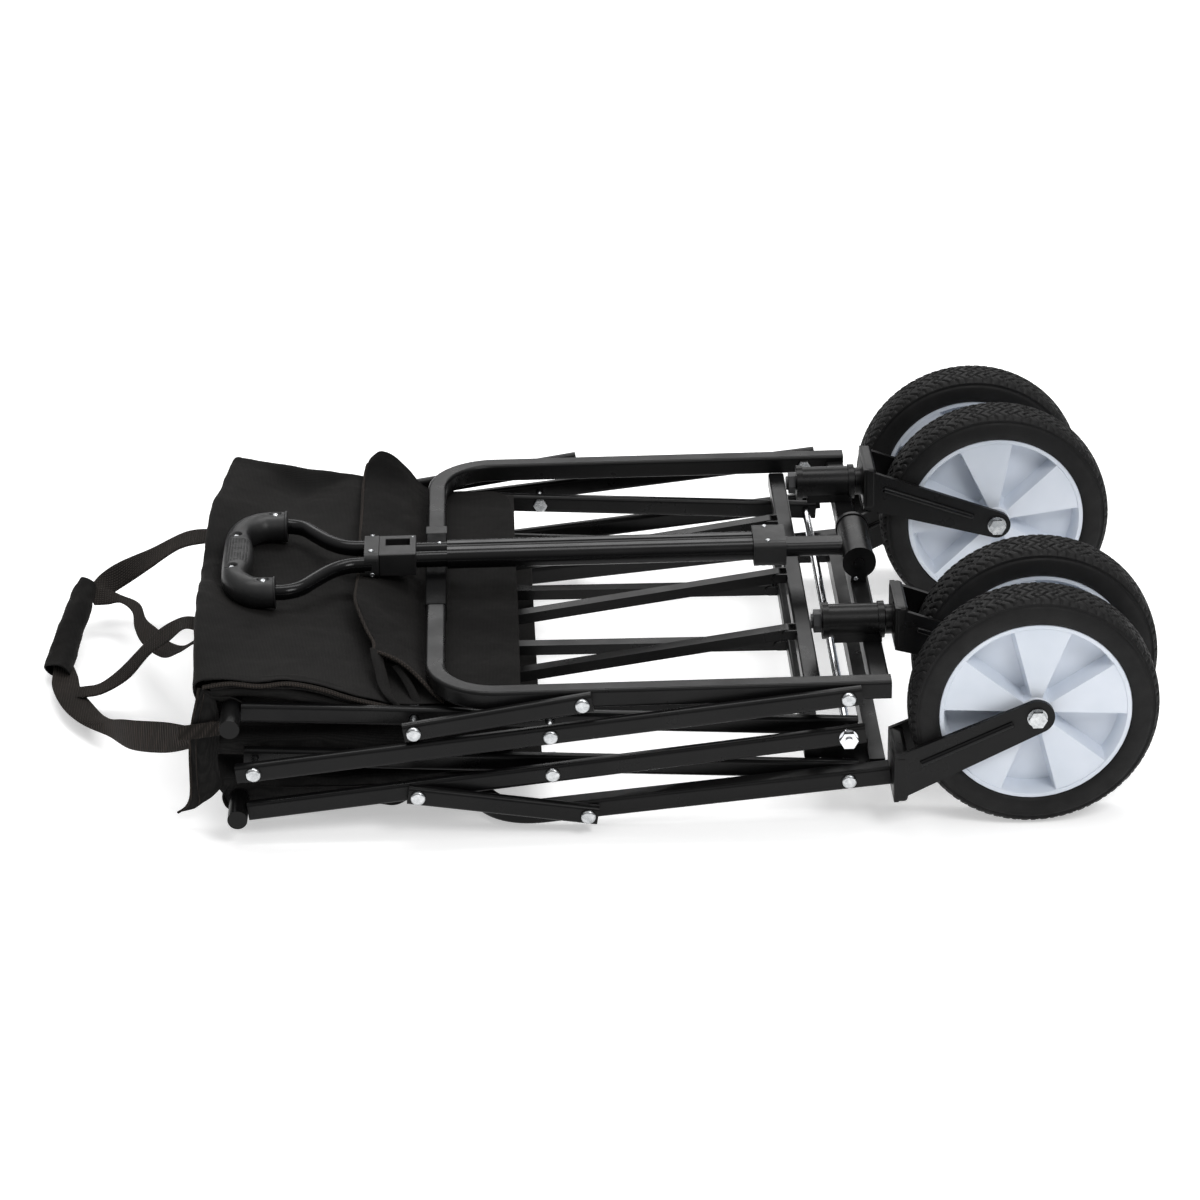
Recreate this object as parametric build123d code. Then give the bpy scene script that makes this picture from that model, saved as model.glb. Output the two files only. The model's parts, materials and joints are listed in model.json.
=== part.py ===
"""Folding pull wagon, folded flat and lying on its rear frame.

X runs from the basket's rim down to the wheels, Y across the wagon, Z up from the
surface it lies on. Both end frames, the side linkages between them, the slatted
floor, the casters and the pull handle are separate pieces. Millimetres.
"""
from build123d import *
import os
from math import atan2, cos, degrees, hypot, radians, sin, tan

# ---------------------------------------------------------------- driving sizes
CENTRE_X = 195.38         # moves the model so that its box is centred on X = 0
CLEAR = 0.3               # running clearance between pieces that move apart

# tubes
FRAME_TUBE = 16.0         # square tube of both end frames
FRAME_CORNER = 3.0        # its rounded edge
FRAME_BEND = 50.0         # bend radius of the frames' corners, on the centre line
FRAME_WIDTH = 462.0       # over the legs
BAR_HEIGHT = 16.0         # flat tube of the side linkages
BAR_THICK = 9.0
BAR_EDGE = 3.5
RIM_RADIUS = 8.0          # round tubes that carry the basket's rim
SLAT_WIDTH = 11.0
SLAT_HEIGHT = 9.0
CROSS_TUBE = 14.0         # square tube of the floor crossbars

# side linkage, in the XZ plane, before the shift by CENTRE_X
HALF_BAR = 237.0          # from a crossing to either end pivot
LINK_BEYOND = 108.0       # from a crossing out to the short link's pivot
RIM_BEYOND = 253.0        # from a crossing out to the rim tube
LEVEL_ANGLE = 3.3         # fall of the inner bars towards the wheels
RISE_ANGLE = 6.2          # rise of the outer bars towards the wheels
REAR_SLOPE = 5.3          # slope of the rear frame's legs
REAR_PIVOT_X = 3.0
REAR_PIVOT_Z = 37.2
PIVOT_DROP = 1.3          # the front frame's pivot lies this far under its legs' centre line
LINK_SPAN = 210.0         # from a leg's lower pivot to the short link's pivot
PIN_RADIUS = 3.0
PIN_HEAD_RADIUS = 6.0
PIN_HEAD = 3.0
ROD_RADIUS = 3.5

# end frames
FRONT_TOP_X = -325.0      # centre line of the front frame's top bar
REAR_TOP_X = -292.0
LEG_END_X = 36.0
TUBE_WALL = 1.2
FLOOR_BAR_X = -24.0       # floor crossbars
FLOOR_FRONT_DROP = 14.0   # from the front frame's legs down to its floor crossbar
FLOOR_REAR_Z = 51.0
SLAT_SPACING = 108.0
SLAT_OFFSET = 6.5         # front and rear slats lie side by side at the hinge
SLAT_LENGTH = 368.7
EAR_REACH = 7.0           # from a crossbar's face to the slats' hinge
EAR_LIFT = 5.0            # of the front hinge over its crossbar's middle
EAR_RADIUS = 4.0
EAR_PLATE = 1.4
HINGE_PIN_RADIUS = 1.8
SLAT_FALL = 8.3            # of the front slats, away from their crossbar
CASTER_BAR_X = 29.0
CASTER_BAR = 17.0

# wheels
TYRE_RADIUS = 100.0
TYRE_WIDTH = 40.0
SIDEWALL = 23.0           # from the tread in to the hub
HUB_WIDTH = 37.0
SECTOR = 36.0             # each raised part of a hub's face, in degrees
AXLE_RADIUS = 5.0
BOLT_ACROSS = 13.0        # across the flats of the axle bolts and the centre rod's nuts
REAR_WHEEL_X = 149.0
REAR_WHEEL_INSET = 6.0    # from the frame's outer face in to the rear wheels' middle
FRONT_WHEEL_X = 161.0
WHEEL_STAGGER = 87.4      # the front wheels nest this far inside the rear ones
TRAIL = 33.8              # from the swivel axis down to the front axle
FORK_PLATE = 4.0
FORK_GAP = 3.0            # from the tyre to a fork arm
FORK_BASE_X = 45.0
FRONT_BASE_BELOW = 15.0   # of the front fork's base under and over its swivel axis
FRONT_BASE_ABOVE = 22.0
REAR_BASE_LOW = 28.0
REAR_BASE_HIGH = 68.0
REAR_ARM_END = 14.0
FRONT_ARM_END = 12.0
HOUSING_RADIUS = 13.5
HOUSING_LENGTH = 50.0
HOUSING_END_X = 38.0
SWIVEL_LIFT = 17.6        # of the swivel axis over the front frame's legs
STEM_RADIUS = 6.0

# pull handle
HANDLE_LIFT = 22.5        # over the front frame's legs
BARREL_X = 27.5
BARREL_LIFT = 20.8
BARREL_RADIUS = 13.0
BARREL_HALF = 32.0
TWIN_RADIUS = 8.5         # outer telescopic tubes, side by side
TWIN_WALL = 1.4
INNER_GAP = 0.3
OUTER_LEFT_X = -315.0
CLAMP_LEFT_X = -59.0
CLAMP_RIGHT_X = -32.0
CLAMP_WIDTH = 41.0
CLAMP_HEIGHT = 23.0
CLAMP_RIBS = 4
ROOT_WIDTH = 24.0
ROOT_HEIGHT = 12.0
LATCH_LEFT_X = -372.0
LATCH_RIGHT_X = -341.0
LATCH_WIDTH = 38.0
LATCH_HEIGHT = 20.0
SLOT_LENGTH = 20.0        # the latch button's slot
SLOT_WIDTH = 12.0
SLOT_DEPTH = 6.0
BUTTON_TRAVEL = 2.0
COLLAR_LENGTH = 12.0
COLLAR_WIDTH = 44.0
COLLAR_HEIGHT = 22.0
CORNER = 6.0              # rounded edge of the handle's moulded pieces
GRIP_X = -491.0
GRIP_ARM_X = -452.0
GRIP_HALF = 41.0
GRIP_RADIUS = 12.5
GRIP_BEND = 22.0
ARM_TUBE_RADIUS = 6.5
ARM_BEND = 16.0
ARM_ROOT = 10.0           # each arm's distance from the middle at the collar
ARM_LEAD = 20.0           # straight part of an arm at the collar and at the grip
STROKE = 200.0            # travel of the telescopic handle

# fabric
CLOTH = 2.0
CLOTH_GAP = 4.5           # from the innermost bars to the basket
FRONT_WALL = 9.0          # thickness of the folded walls
REAR_WALL = 6.5
REAR_WALL_SLOPE = 3.0
WALL_CORNER = 24.0
WALL_LENGTH = 247.0       # from the rim tube to a wall's lower edge
SIDE_INSET = 25.0         # from the rim tube to the folded sides
SIDE_LENGTH = 200.0
SIDE_LOW_Z = 36.0
SIDE_RISE = 9.0
SIDE_DROP = FRONT_WALL + CLEAR
SIDE_FOLD = 50.0
FLOOR_ROOM = 10.0         # from the folded floor cloth to the floors' middle hinge
# the front wall's swell over its rim, as (share of the half width, height at the rim, height behind it)
SWELL = ((-1.0, 18.0, 12.0), (-0.55, 32.0, 17.0), (-0.32, 32.0, 17.0), (0.32, 34.0, 17.0), (0.6, 37.0, 20.0), (1.0, 36.0, 12.0))
SWELL_EDGE = 24.0         # how far the wall stands out past its rim tube
# the pocket's hem, as (share of the half width, distance from the rim, height)
HEM = ((-1.0, 128.0, 5.0), (-0.8, 120.0, 12.0), (-0.55, 105.0, 15.0), (0.0, 95.0, 20.0), (0.7, 95.0, 24.0), (1.0, 105.0, 36.0))

# carry strap, as stops of a centre point and a direction across the band
BAND = 27.0
BAND_THICK = 2.0
PAD = 30.0
PAD_THICK = 14.0
UPPER_BAND = (
    ((-492, 139, 93.6), (0.1, 1, 0)), ((-527, 149, 91), (0.17, 0.98, 0.07)), ((-551, 168, 82), (0.2, 0.96, 0.2)),
    ((-581, 175, 62), (0, 0.94, 0.33)), ((-607, 180, 44), (-0.3, 0.84, 0.4)), ((-622, 172, 36), (-0.5, 0.84, 0.2)))
PAD_STOPS = (
    ((-615, 175, 38), (-0.54, 0.84, 0)), ((-628, 157, 33), (-0.63, 0.77, 0)), ((-634, 110, 21), (-0.7, 0.7, 0)),
    ((-635.9, 51, 12), (-0.7, 0.7, 0)))
LOW_BAND = (
    ((-636, 60, 12), (0.95, -0.1, 0)), ((-636, 25, 11), (0.97, -0.2, 0)), ((-633, -10, 12), (1, 0, 0.05)),
    ((-618, -44, 17), (0.85, -0.3, 0.3)), ((-599, -78, 26), (0.2, -0.5, 0.82)), ((-577, -127, 44), (0, 0, 1)),
    ((-547, -168, 62), (0, 0.1, 1)), ((-512, -190, 82), (0, -0.2, 0.95)))

# ---------------------------------------------------------------- derived places
HALF_WIDTH = FRAME_WIDTH / 2
LEG_OUT = HALF_WIDTH
LEG_IN = HALF_WIDTH - FRAME_TUBE
OUTER_LAYER = LEG_OUT + 1.0            # inner face of the outermost bars
LEG_LAYER = LEG_OUT - BAR_THICK        # inner face of the bars beside the legs
INNER_LAYER = LEG_IN - 1.0 - BAR_THICK  # inner face of the innermost bars
CLOTH_HALF = INNER_LAYER - CLOTH_GAP
HUB_RADIUS = TYRE_RADIUS - SIDEWALL
LINK_REACH = HALF_BAR + LINK_BEYOND
RIM_REACH = HALF_BAR + RIM_BEYOND
REAR_WHEEL_Y = HALF_WIDTH - REAR_WHEEL_INSET
FRONT_WHEEL_Y = REAR_WHEEL_Y - WHEEL_STAGGER
SIDES = {"near": -1, "far": 1}


def step(point, angle, length):
    """The point that lies length away at an angle in degrees from +X towards +Z."""
    return (point[0] + length * cos(radians(angle)), point[1] + length * sin(radians(angle)))


REAR_PIVOT = (REAR_PIVOT_X, REAR_PIVOT_Z)
CENTRE_TOP = step(REAR_PIVOT, 180 - LEVEL_ANGLE, 2 * HALF_BAR)
FRONT_PIVOT = step(CENTRE_TOP, RISE_ANGLE, 2 * HALF_BAR)
FRONT_CROSS = step(CENTRE_TOP, RISE_ANGLE, HALF_BAR)
REAR_CROSS = step(CENTRE_TOP, -LEVEL_ANGLE, HALF_BAR)
CENTRE_LOW = step(FRONT_CROSS, -LEVEL_ANGLE, HALF_BAR)
FRONT_LINK_TOP = step(CENTRE_LOW, 180 - LEVEL_ANGLE, LINK_REACH)
REAR_LINK_TOP = step(CENTRE_LOW, 180 + RISE_ANGLE, LINK_REACH)
FRONT_RIM = step(CENTRE_LOW, 180 - LEVEL_ANGLE, RIM_REACH)
REAR_RIM = step(CENTRE_LOW, 180 + RISE_ANGLE, RIM_REACH)
FRONT_LEG_Z = FRONT_PIVOT[1] + PIVOT_DROP
FRONT_LINK_LOW = (FRONT_PIVOT[0] - LINK_SPAN, FRONT_LEG_Z)
FLOOR_FRONT_Z = FRONT_LEG_Z - FLOOR_FRONT_DROP
SWIVEL_Z = FRONT_LEG_Z + SWIVEL_LIFT
FRONT_WHEEL_Z = SWIVEL_Z - TRAIL
HANDLE_Z = FRONT_LEG_Z + HANDLE_LIFT
BARREL_Z = FRONT_LEG_Z + BARREL_LIFT
REAR_LINK_LOW = step(REAR_PIVOT, 180 + REAR_SLOPE, LINK_SPAN)
FLOOR_BAR_FACE = FLOOR_BAR_X - CROSS_TUBE / 2
HINGE_X = FLOOR_BAR_FACE - EAR_REACH
FRONT_HINGE = (HINGE_X, FLOOR_FRONT_Z + EAR_LIFT)
REAR_HINGE = (HINGE_X, FLOOR_REAR_Z)
FLOOR_MIDDLE = step(FRONT_HINGE, 180 + SLAT_FALL, SLAT_LENGTH)
SLAT_ROWS = (-SLAT_SPACING, 0.0, SLAT_SPACING)


def rear_leg_z(x):
    """Height of the rear frame's centre line at x."""
    return REAR_PIVOT_Z + (x - REAR_PIVOT_X) * tan(radians(REAR_SLOPE))


# ---------------------------------------------------------------- helpers
def cylinder_y(x, z, y_from, y_to, radius):
    """A round pin along Y."""
    low, high = sorted((y_from, y_to))
    plane = Plane(origin=(x, low, z), x_dir=(1, 0, 0), z_dir=(0, 1, 0))
    return extrude(plane * Circle(radius), high - low)


def cylinder_x(y, z, x_from, x_to, radius):
    """A round piece along X."""
    plane = Plane(origin=(x_from, y, z), x_dir=(0, 1, 0), z_dir=(1, 0, 0))
    return extrude(plane * Circle(radius), x_to - x_from)


def hexagon_y(x, z, y_from, y_to, across):
    """A hexagonal head or nut along Y."""
    low, high = sorted((y_from, y_to))
    plane = Plane(origin=(x, low, z), x_dir=(1, 0, 0), z_dir=(0, 1, 0))
    return extrude(plane * RegularPolygon(across / 3 ** 0.5, 6), high - low)


def block(x_from, x_to, y_from, y_to, z_from, z_to):
    """A box between two corners."""
    size = (x_to - x_from, y_to - y_from, z_to - z_from)
    place = ((x_from + x_to) / 2, (y_from + y_to) / 2, (z_from + z_to) / 2)
    return Pos(*place) * Box(*size)


def flat_bar(start, end, inner_face, before=0.0, after=0.0, side=1, holes=(), bore=PIN_RADIUS + CLEAR):
    """A flat tube between two pivots, run on past each, with cross holes at the pivots."""
    angle = degrees(atan2(end[1] - start[1], end[0] - start[0]))
    length = hypot(end[0] - start[0], end[1] - start[1]) + before + after
    first = step(start, angle + 180, before)
    mid_y = side * (inner_face + BAR_THICK / 2)
    along = (cos(radians(angle)), 0, sin(radians(angle)))
    plane = Plane(origin=(first[0], mid_y, first[1]), x_dir=(0, 1, 0), z_dir=along)
    bar = extrude(plane * RectangleRounded(BAR_THICK, BAR_HEIGHT, BAR_EDGE), length)
    hollow = RectangleRounded(BAR_THICK - 2 * TUBE_WALL, BAR_HEIGHT - 2 * TUBE_WALL, BAR_EDGE - TUBE_WALL)
    bar -= extrude(plane * hollow, length)
    for point in holes:
        bar -= cylinder_y(point[0], point[1], mid_y - BAR_THICK, mid_y + BAR_THICK, bore)
    return bar


def rivet(point, head_face, tail_face, side, tail=True, radius=PIN_RADIUS):
    """A domed rivet along Y from its head's seat to the inner face that it holds."""
    x, z = point
    seat = side * (head_face + CLEAR)
    foot = side * (tail_face - CLEAR)
    body = cylinder_y(x, z, seat, foot, radius)
    head = cylinder_y(x, z, seat, seat + side * PIN_HEAD, PIN_HEAD_RADIUS)
    face = seat + side * PIN_HEAD
    crown = [edge for edge in head.edges() if abs(edge.center().Y - face) < 0.01]
    body += fillet(crown, PIN_HEAD * 0.7)
    if tail:
        body += hexagon_y(x, z, foot, foot - side * PIN_HEAD, PIN_HEAD_RADIUS * 1.8)
    return body


def both_sides(make):
    """The near and the far copy of a piece."""
    return [make(side) for side in SIDES.values()]


def bent_frame(top_x, slope, pivot_z):
    """A square tube bent to a U: two legs and a top bar with rounded corners."""
    reach = (LEG_END_X - REAR_PIVOT_X) / cos(radians(slope))
    top = (top_x - REAR_PIVOT_X) / cos(radians(slope))
    half = HALF_WIDTH - FRAME_TUBE / 2
    path = FilletPolyline(
        (reach, -half, 0), (top, -half, 0), (top, half, 0), (reach, half, 0),
        radius=FRAME_BEND,
    )
    start = Plane(origin=path @ 0, x_dir=(0, 0, 1), z_dir=path % 0)
    bore = FRAME_TUBE - 2 * TUBE_WALL
    tube = sweep(start * RectangleRounded(FRAME_TUBE, FRAME_TUBE, FRAME_CORNER), path=path)
    tube -= sweep(start * RectangleRounded(bore, bore, FRAME_CORNER - TUBE_WALL), path=path)
    return Pos(REAR_PIVOT_X, 0, pivot_z) * Rot(0, -slope, 0) * tube


def export(name, *solids):
    """Write one named piece, shifted into the part's frame."""
    shapes = []
    for item in solids:
        shapes.extend(item.solids())
    moved = [Pos(CENTRE_X, 0, 0) * shape for shape in shapes]
    shape = moved[0] if len(moved) == 1 else Compound(children=moved)
    export_step(shape, f"parts/{name}.step")


# ---------------------------------------------------------------- end frames
def with_hinge_ears(bar, hinge, offset):
    """A floor crossbar with the pairs of ears and the pins that carry one half's slats."""
    x, z = hinge
    for row in SLAT_ROWS:
        mid_y = row + offset
        inside = SLAT_WIDTH / 2 + CLEAR
        outside = inside + EAR_PLATE
        for side in SIDES.values():
            low, high = sorted((mid_y + side * inside, mid_y + side * outside))
            bar += block(x, FLOOR_BAR_FACE + 1, low, high, z - EAR_RADIUS, z + EAR_RADIUS)
            bar += cylinder_y(x, z, low, high, EAR_RADIUS)
        bar += cylinder_y(x, z, mid_y - outside, mid_y + outside, HINGE_PIN_RADIUS)
    return bar


def rear_frame():
    """The lower frame in the folded stack, with its crossbars, forks and axles."""
    tube = bent_frame(REAR_TOP_X, REAR_SLOPE, REAR_PIVOT_Z)
    for side in SIDES.values():
        tube -= cylinder_y(*REAR_PIVOT, side * (LEG_IN - 1), side * (LEG_OUT + 1), PIN_RADIUS)
    export("rear_frame_tube", tube)
    export("rear_pivot_screws", *both_sides(
        lambda side: rivet(REAR_PIVOT, LEG_OUT - CLEAR, INNER_LAYER, side)))

    inner = INNER_LAYER - 2.0
    floor_bar = block(FLOOR_BAR_X - CROSS_TUBE / 2, FLOOR_BAR_X + CROSS_TUBE / 2, -inner, inner,
                      FLOOR_REAR_Z - CROSS_TUBE / 2, FLOOR_REAR_Z + CROSS_TUBE / 2)
    floor_bar = fillet(floor_bar.edges().filter_by(Axis.Y), 2.0)
    export("rear_floor_crossbar", with_hinge_ears(floor_bar, REAR_HINGE, -SLAT_OFFSET))

    z = rear_leg_z(CASTER_BAR_X)
    half = CASTER_BAR / 2
    axle_bar = block(CASTER_BAR_X - half, CASTER_BAR_X + half / 2, -LEG_IN, LEG_IN, z - half, z + half)
    for side in SIDES.values():
        low, high = sorted((side * (inner - 4.0), side * (inner - 10.0)))
        strut = block(FLOOR_BAR_X + CROSS_TUBE / 2, CASTER_BAR_X - half, low, high,
                      z - half, FLOOR_REAR_Z + CROSS_TUBE / 2)
        axle_bar += strut
    export("rear_axle_crossbar", axle_bar)


def fork_arm(outline, centre, end_radius, y_from, plate):
    """One tapered fork arm with a rounded end about the axle."""
    plane = Plane(origin=(0, y_from, 0), x_dir=(1, 0, 0), z_dir=(0, -1, 0))
    face = make_face(plane * Polyline(*outline, close=True))
    arm = extrude(face, -plate)
    arm += cylinder_y(centre[0], centre[1], y_from, y_from + plate, end_radius)
    return arm


def wheel_fork(centre_y, axle, outline, end_radius, base_x, base_low, base_high):
    """A bent plate fork: a base across the wheel and two arms to its axle."""
    inside = TYRE_WIDTH / 2 + FORK_GAP
    outside = inside + FORK_PLATE
    fork = block(base_x, base_x + FORK_PLATE, centre_y - outside, centre_y + outside, base_low, base_high)
    for y_from in (centre_y - outside, centre_y + inside):
        arm = fork_arm(outline, axle, end_radius, y_from, FORK_PLATE)
        fork += arm
    fork -= cylinder_y(axle[0], axle[1], centre_y - outside - 1, centre_y + outside + 1, AXLE_RADIUS)
    return fork


def axle_bolt(centre_y, axle):
    """An axle bolt with its hexagonal head outside and its nut inside."""
    reach = TYRE_WIDTH / 2 + FORK_GAP + FORK_PLATE
    bolt = cylinder_y(axle[0], axle[1], centre_y - reach, centre_y + reach, AXLE_RADIUS)
    for end in (-1, 1):
        face = centre_y + end * reach
        bolt += cylinder_y(axle[0], axle[1], face, face + end * 1.0, 8.0)
        bolt += hexagon_y(axle[0], axle[1], face + end * 1.0, face + end * 5.5, BOLT_ACROSS)
    return bolt


REAR_AXLE = (REAR_WHEEL_X, TYRE_RADIUS)
FRONT_AXLE = (FRONT_WHEEL_X, FRONT_WHEEL_Z)
FRONT_BASE_LOW = SWIVEL_Z - FRONT_BASE_BELOW
FRONT_BASE_HIGH = SWIVEL_Z + FRONT_BASE_ABOVE


def tapered_arm(base_x, low, high, axle, end_radius):
    """Outline of an arm from its base to the tangent points beside the axle."""
    lean = degrees(atan2(axle[1] - (low + high) / 2, axle[0] - base_x))
    upper = step(axle, lean + 90, end_radius)
    lower = step(axle, lean - 90, end_radius)
    return [(base_x, low), lower, upper, (base_x, high)]


def rear_forks():
    """The fixed forks at the ends of the rear frame's legs."""
    base_x = LEG_END_X + FRAME_TUBE / 2 * sin(radians(REAR_SLOPE))
    outline = tapered_arm(base_x, REAR_BASE_LOW, REAR_BASE_HIGH, REAR_AXLE, REAR_ARM_END)
    for name, side in SIDES.items():
        centre_y = side * REAR_WHEEL_Y
        fork = wheel_fork(centre_y, REAR_AXLE, outline, REAR_ARM_END, base_x, REAR_BASE_LOW, REAR_BASE_HIGH)
        export(f"rear_fork_{name}", fork)
    export("rear_axle_bolts", *both_sides(lambda side: axle_bolt(side * REAR_WHEEL_Y, REAR_AXLE)))


def front_frame():
    """The upper frame in the folded stack, with the caster housings and the handle's yoke."""
    tube = bent_frame(FRONT_TOP_X, 0.0, FRONT_LEG_Z)
    for side in SIDES.values():
        tube -= cylinder_y(*FRONT_PIVOT, side * (LEG_IN - 1), side * (LEG_OUT + 1), PIN_RADIUS)
    export("front_frame_tube", tube)
    export("front_pivot_screws", *both_sides(
        lambda side: rivet(FRONT_PIVOT, OUTER_LAYER + BAR_THICK, LEG_IN + CLEAR, side)))

    floor_bar = block(FLOOR_BAR_X - CROSS_TUBE / 2, FLOOR_BAR_X + CROSS_TUBE / 2, -LEG_IN, LEG_IN,
                      FLOOR_FRONT_Z - CROSS_TUBE / 2, FLOOR_FRONT_Z + CROSS_TUBE / 2)
    floor_bar = fillet(floor_bar.edges().filter_by(Axis.Y), 2.0)
    export("front_floor_crossbar", with_hinge_ears(floor_bar, FRONT_HINGE, SLAT_OFFSET))

    half = CASTER_BAR / 2
    top = SWIVEL_Z - HOUSING_RADIUS - 1.5
    bar = block(CASTER_BAR_X - half, LEG_END_X, -LEG_IN, LEG_IN, top - CASTER_BAR, top)
    export("caster_crossbar", fillet(bar.edges().filter_by(Axis.Y), 2.0))

    def housing(side):
        y = side * FRONT_WHEEL_Y
        body = cylinder_x(y, SWIVEL_Z, HOUSING_END_X - HOUSING_LENGTH, HOUSING_END_X, HOUSING_RADIUS)
        for x in (HOUSING_END_X - HOUSING_LENGTH, HOUSING_END_X - 5.0):
            body += cylinder_x(y, SWIVEL_Z, x, x + 5.0, HOUSING_RADIUS + 1.5)
        saddle = block(HOUSING_END_X - HOUSING_LENGTH + 9, LEG_END_X, y - 11, y + 11, top, SWIVEL_Z)
        body += saddle
        body -= cylinder_x(y, SWIVEL_Z, HOUSING_END_X - HOUSING_LENGTH - 1, HOUSING_END_X + 1,
                           STEM_RADIUS + CLEAR)
        return body

    export("caster_housings", *both_sides(housing))

    yoke = block(CASTER_BAR_X - half, CASTER_BAR_X + half / 2, -BARREL_HALF - 4.3, BARREL_HALF + 4.3,
                 top, top + 3.0)
    for side in SIDES.values():
        low, high = sorted((side * (BARREL_HALF + CLEAR), side * (BARREL_HALF + 4.3)))
        yoke += block(CASTER_BAR_X - half, CASTER_BAR_X + half / 2, low, high, top, BARREL_Z)
        yoke += cylinder_y(BARREL_X, BARREL_Z, low, high, BARREL_RADIUS + 1)
        yoke += cylinder_y(BARREL_X, BARREL_Z, side * (BARREL_HALF + 4.3), side * (BARREL_HALF + 7), 4.0)
    yoke += cylinder_y(BARREL_X, BARREL_Z, -BARREL_HALF - 1, BARREL_HALF + 1, 4.0)
    export("handle_yoke", yoke)


# ---------------------------------------------------------------- casters and wheels
def casters():
    """The swivelling front forks with their stems and axles."""
    base_x = FORK_BASE_X
    outline = tapered_arm(base_x, FRONT_BASE_LOW, FRONT_BASE_HIGH, FRONT_AXLE, FRONT_ARM_END)
    nut_x = HOUSING_END_X - HOUSING_LENGTH - 1.0
    for name, side in SIDES.items():
        y = side * FRONT_WHEEL_Y
        fork = wheel_fork(y, FRONT_AXLE, outline, FRONT_ARM_END, base_x, FRONT_BASE_LOW, FRONT_BASE_HIGH)
        fork += cylinder_x(y, SWIVEL_Z, HOUSING_END_X + 1.0, base_x, HOUSING_RADIUS - 1.5)
        export(f"caster_fork_{name}", fork)
        stem = cylinder_x(y, SWIVEL_Z, nut_x - 8.0, HOUSING_END_X + 1.0, STEM_RADIUS)
        nut = Plane(origin=(nut_x - 6.0, y, SWIVEL_Z), x_dir=(0, 1, 0), z_dir=(1, 0, 0))
        stem += extrude(nut * RegularPolygon(9.5, 6), 6.0)
        export(f"caster_stem_{name}", stem)
        export(f"front_axle_{name}", axle_bolt(y, FRONT_AXLE))


def tyre(centre_y, axle):
    """A solid tyre: crowned tread with grooves, rounded shoulders and a sidewall step."""
    half = TYRE_WIDTH / 2
    r = TYRE_RADIUS
    profile = Polyline(
        (HUB_RADIUS - 1, -half + 2), (HUB_RADIUS + 4, -half), (r - 10, -half), (r - 5, -half + 1),
        (r - 1.5, -half + 5), (r - 0.4, -9), (r - 2.4, -8), (r - 2.4, -6), (r - 0.1, -5),
        (r, 0), (r - 0.1, 5), (r - 2.4, 6), (r - 2.4, 8), (r - 0.4, 9),
        (r - 1.5, half - 5), (r - 5, half - 1), (r - 10, half), (HUB_RADIUS + 4, half),
        (HUB_RADIUS - 1, half - 2), close=True,
    )
    ring = revolve(make_face(profile), Axis.Y)
    return Pos(axle[0], centre_y, axle[1]) * ring


def hub(centre_y, axle):
    """A moulded hub: a web with five raised sectors a side, a rim lip and an axle boss."""
    half = HUB_WIDTH / 2
    rim = HUB_RADIUS - 1
    profile = Polyline(
        (AXLE_RADIUS + CLEAR, -half + 1), (13, -half + 1), (13, -half + 6), (rim - 4, -half + 6),
        (rim - 4, -half), (rim, -half), (rim, half), (rim - 4, half), (rim - 4, half - 6),
        (13, half - 6), (13, half - 1), (AXLE_RADIUS + CLEAR, half - 1), close=True,
    )
    disc = revolve(make_face(profile), Axis.Y)
    inner = 11.0
    outer = rim - 2.0
    for face, grow in ((-half + 1.5, 1), (half - 1.5, -1)):
        plane = Plane(origin=(0, face, 0), x_dir=(1, 0, 0), z_dir=(0, grow, 0))
        for index in range(5):
            turn = index * 2 * SECTOR
            wedge = make_face(Polyline(
                step((0, 0), turn, inner), step((0, 0), turn, outer),
                step((0, 0), turn + SECTOR / 2, outer), step((0, 0), turn + SECTOR, outer),
                step((0, 0), turn + SECTOR, inner), close=True))
            disc += extrude(plane * wedge, 5.5)
    return Pos(axle[0], centre_y, axle[1]) * disc


def wheels():
    """Four wheels, each a tyre on a moulded hub."""
    for end, centre, axle in (("rear", REAR_WHEEL_Y, REAR_AXLE), ("front", FRONT_WHEEL_Y, FRONT_AXLE)):
        for name, side in SIDES.items():
            export(f"{end}_tyre_{name}", tyre(side * centre, axle))
            export(f"{end}_hub_{name}", hub(side * centre, axle))


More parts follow.
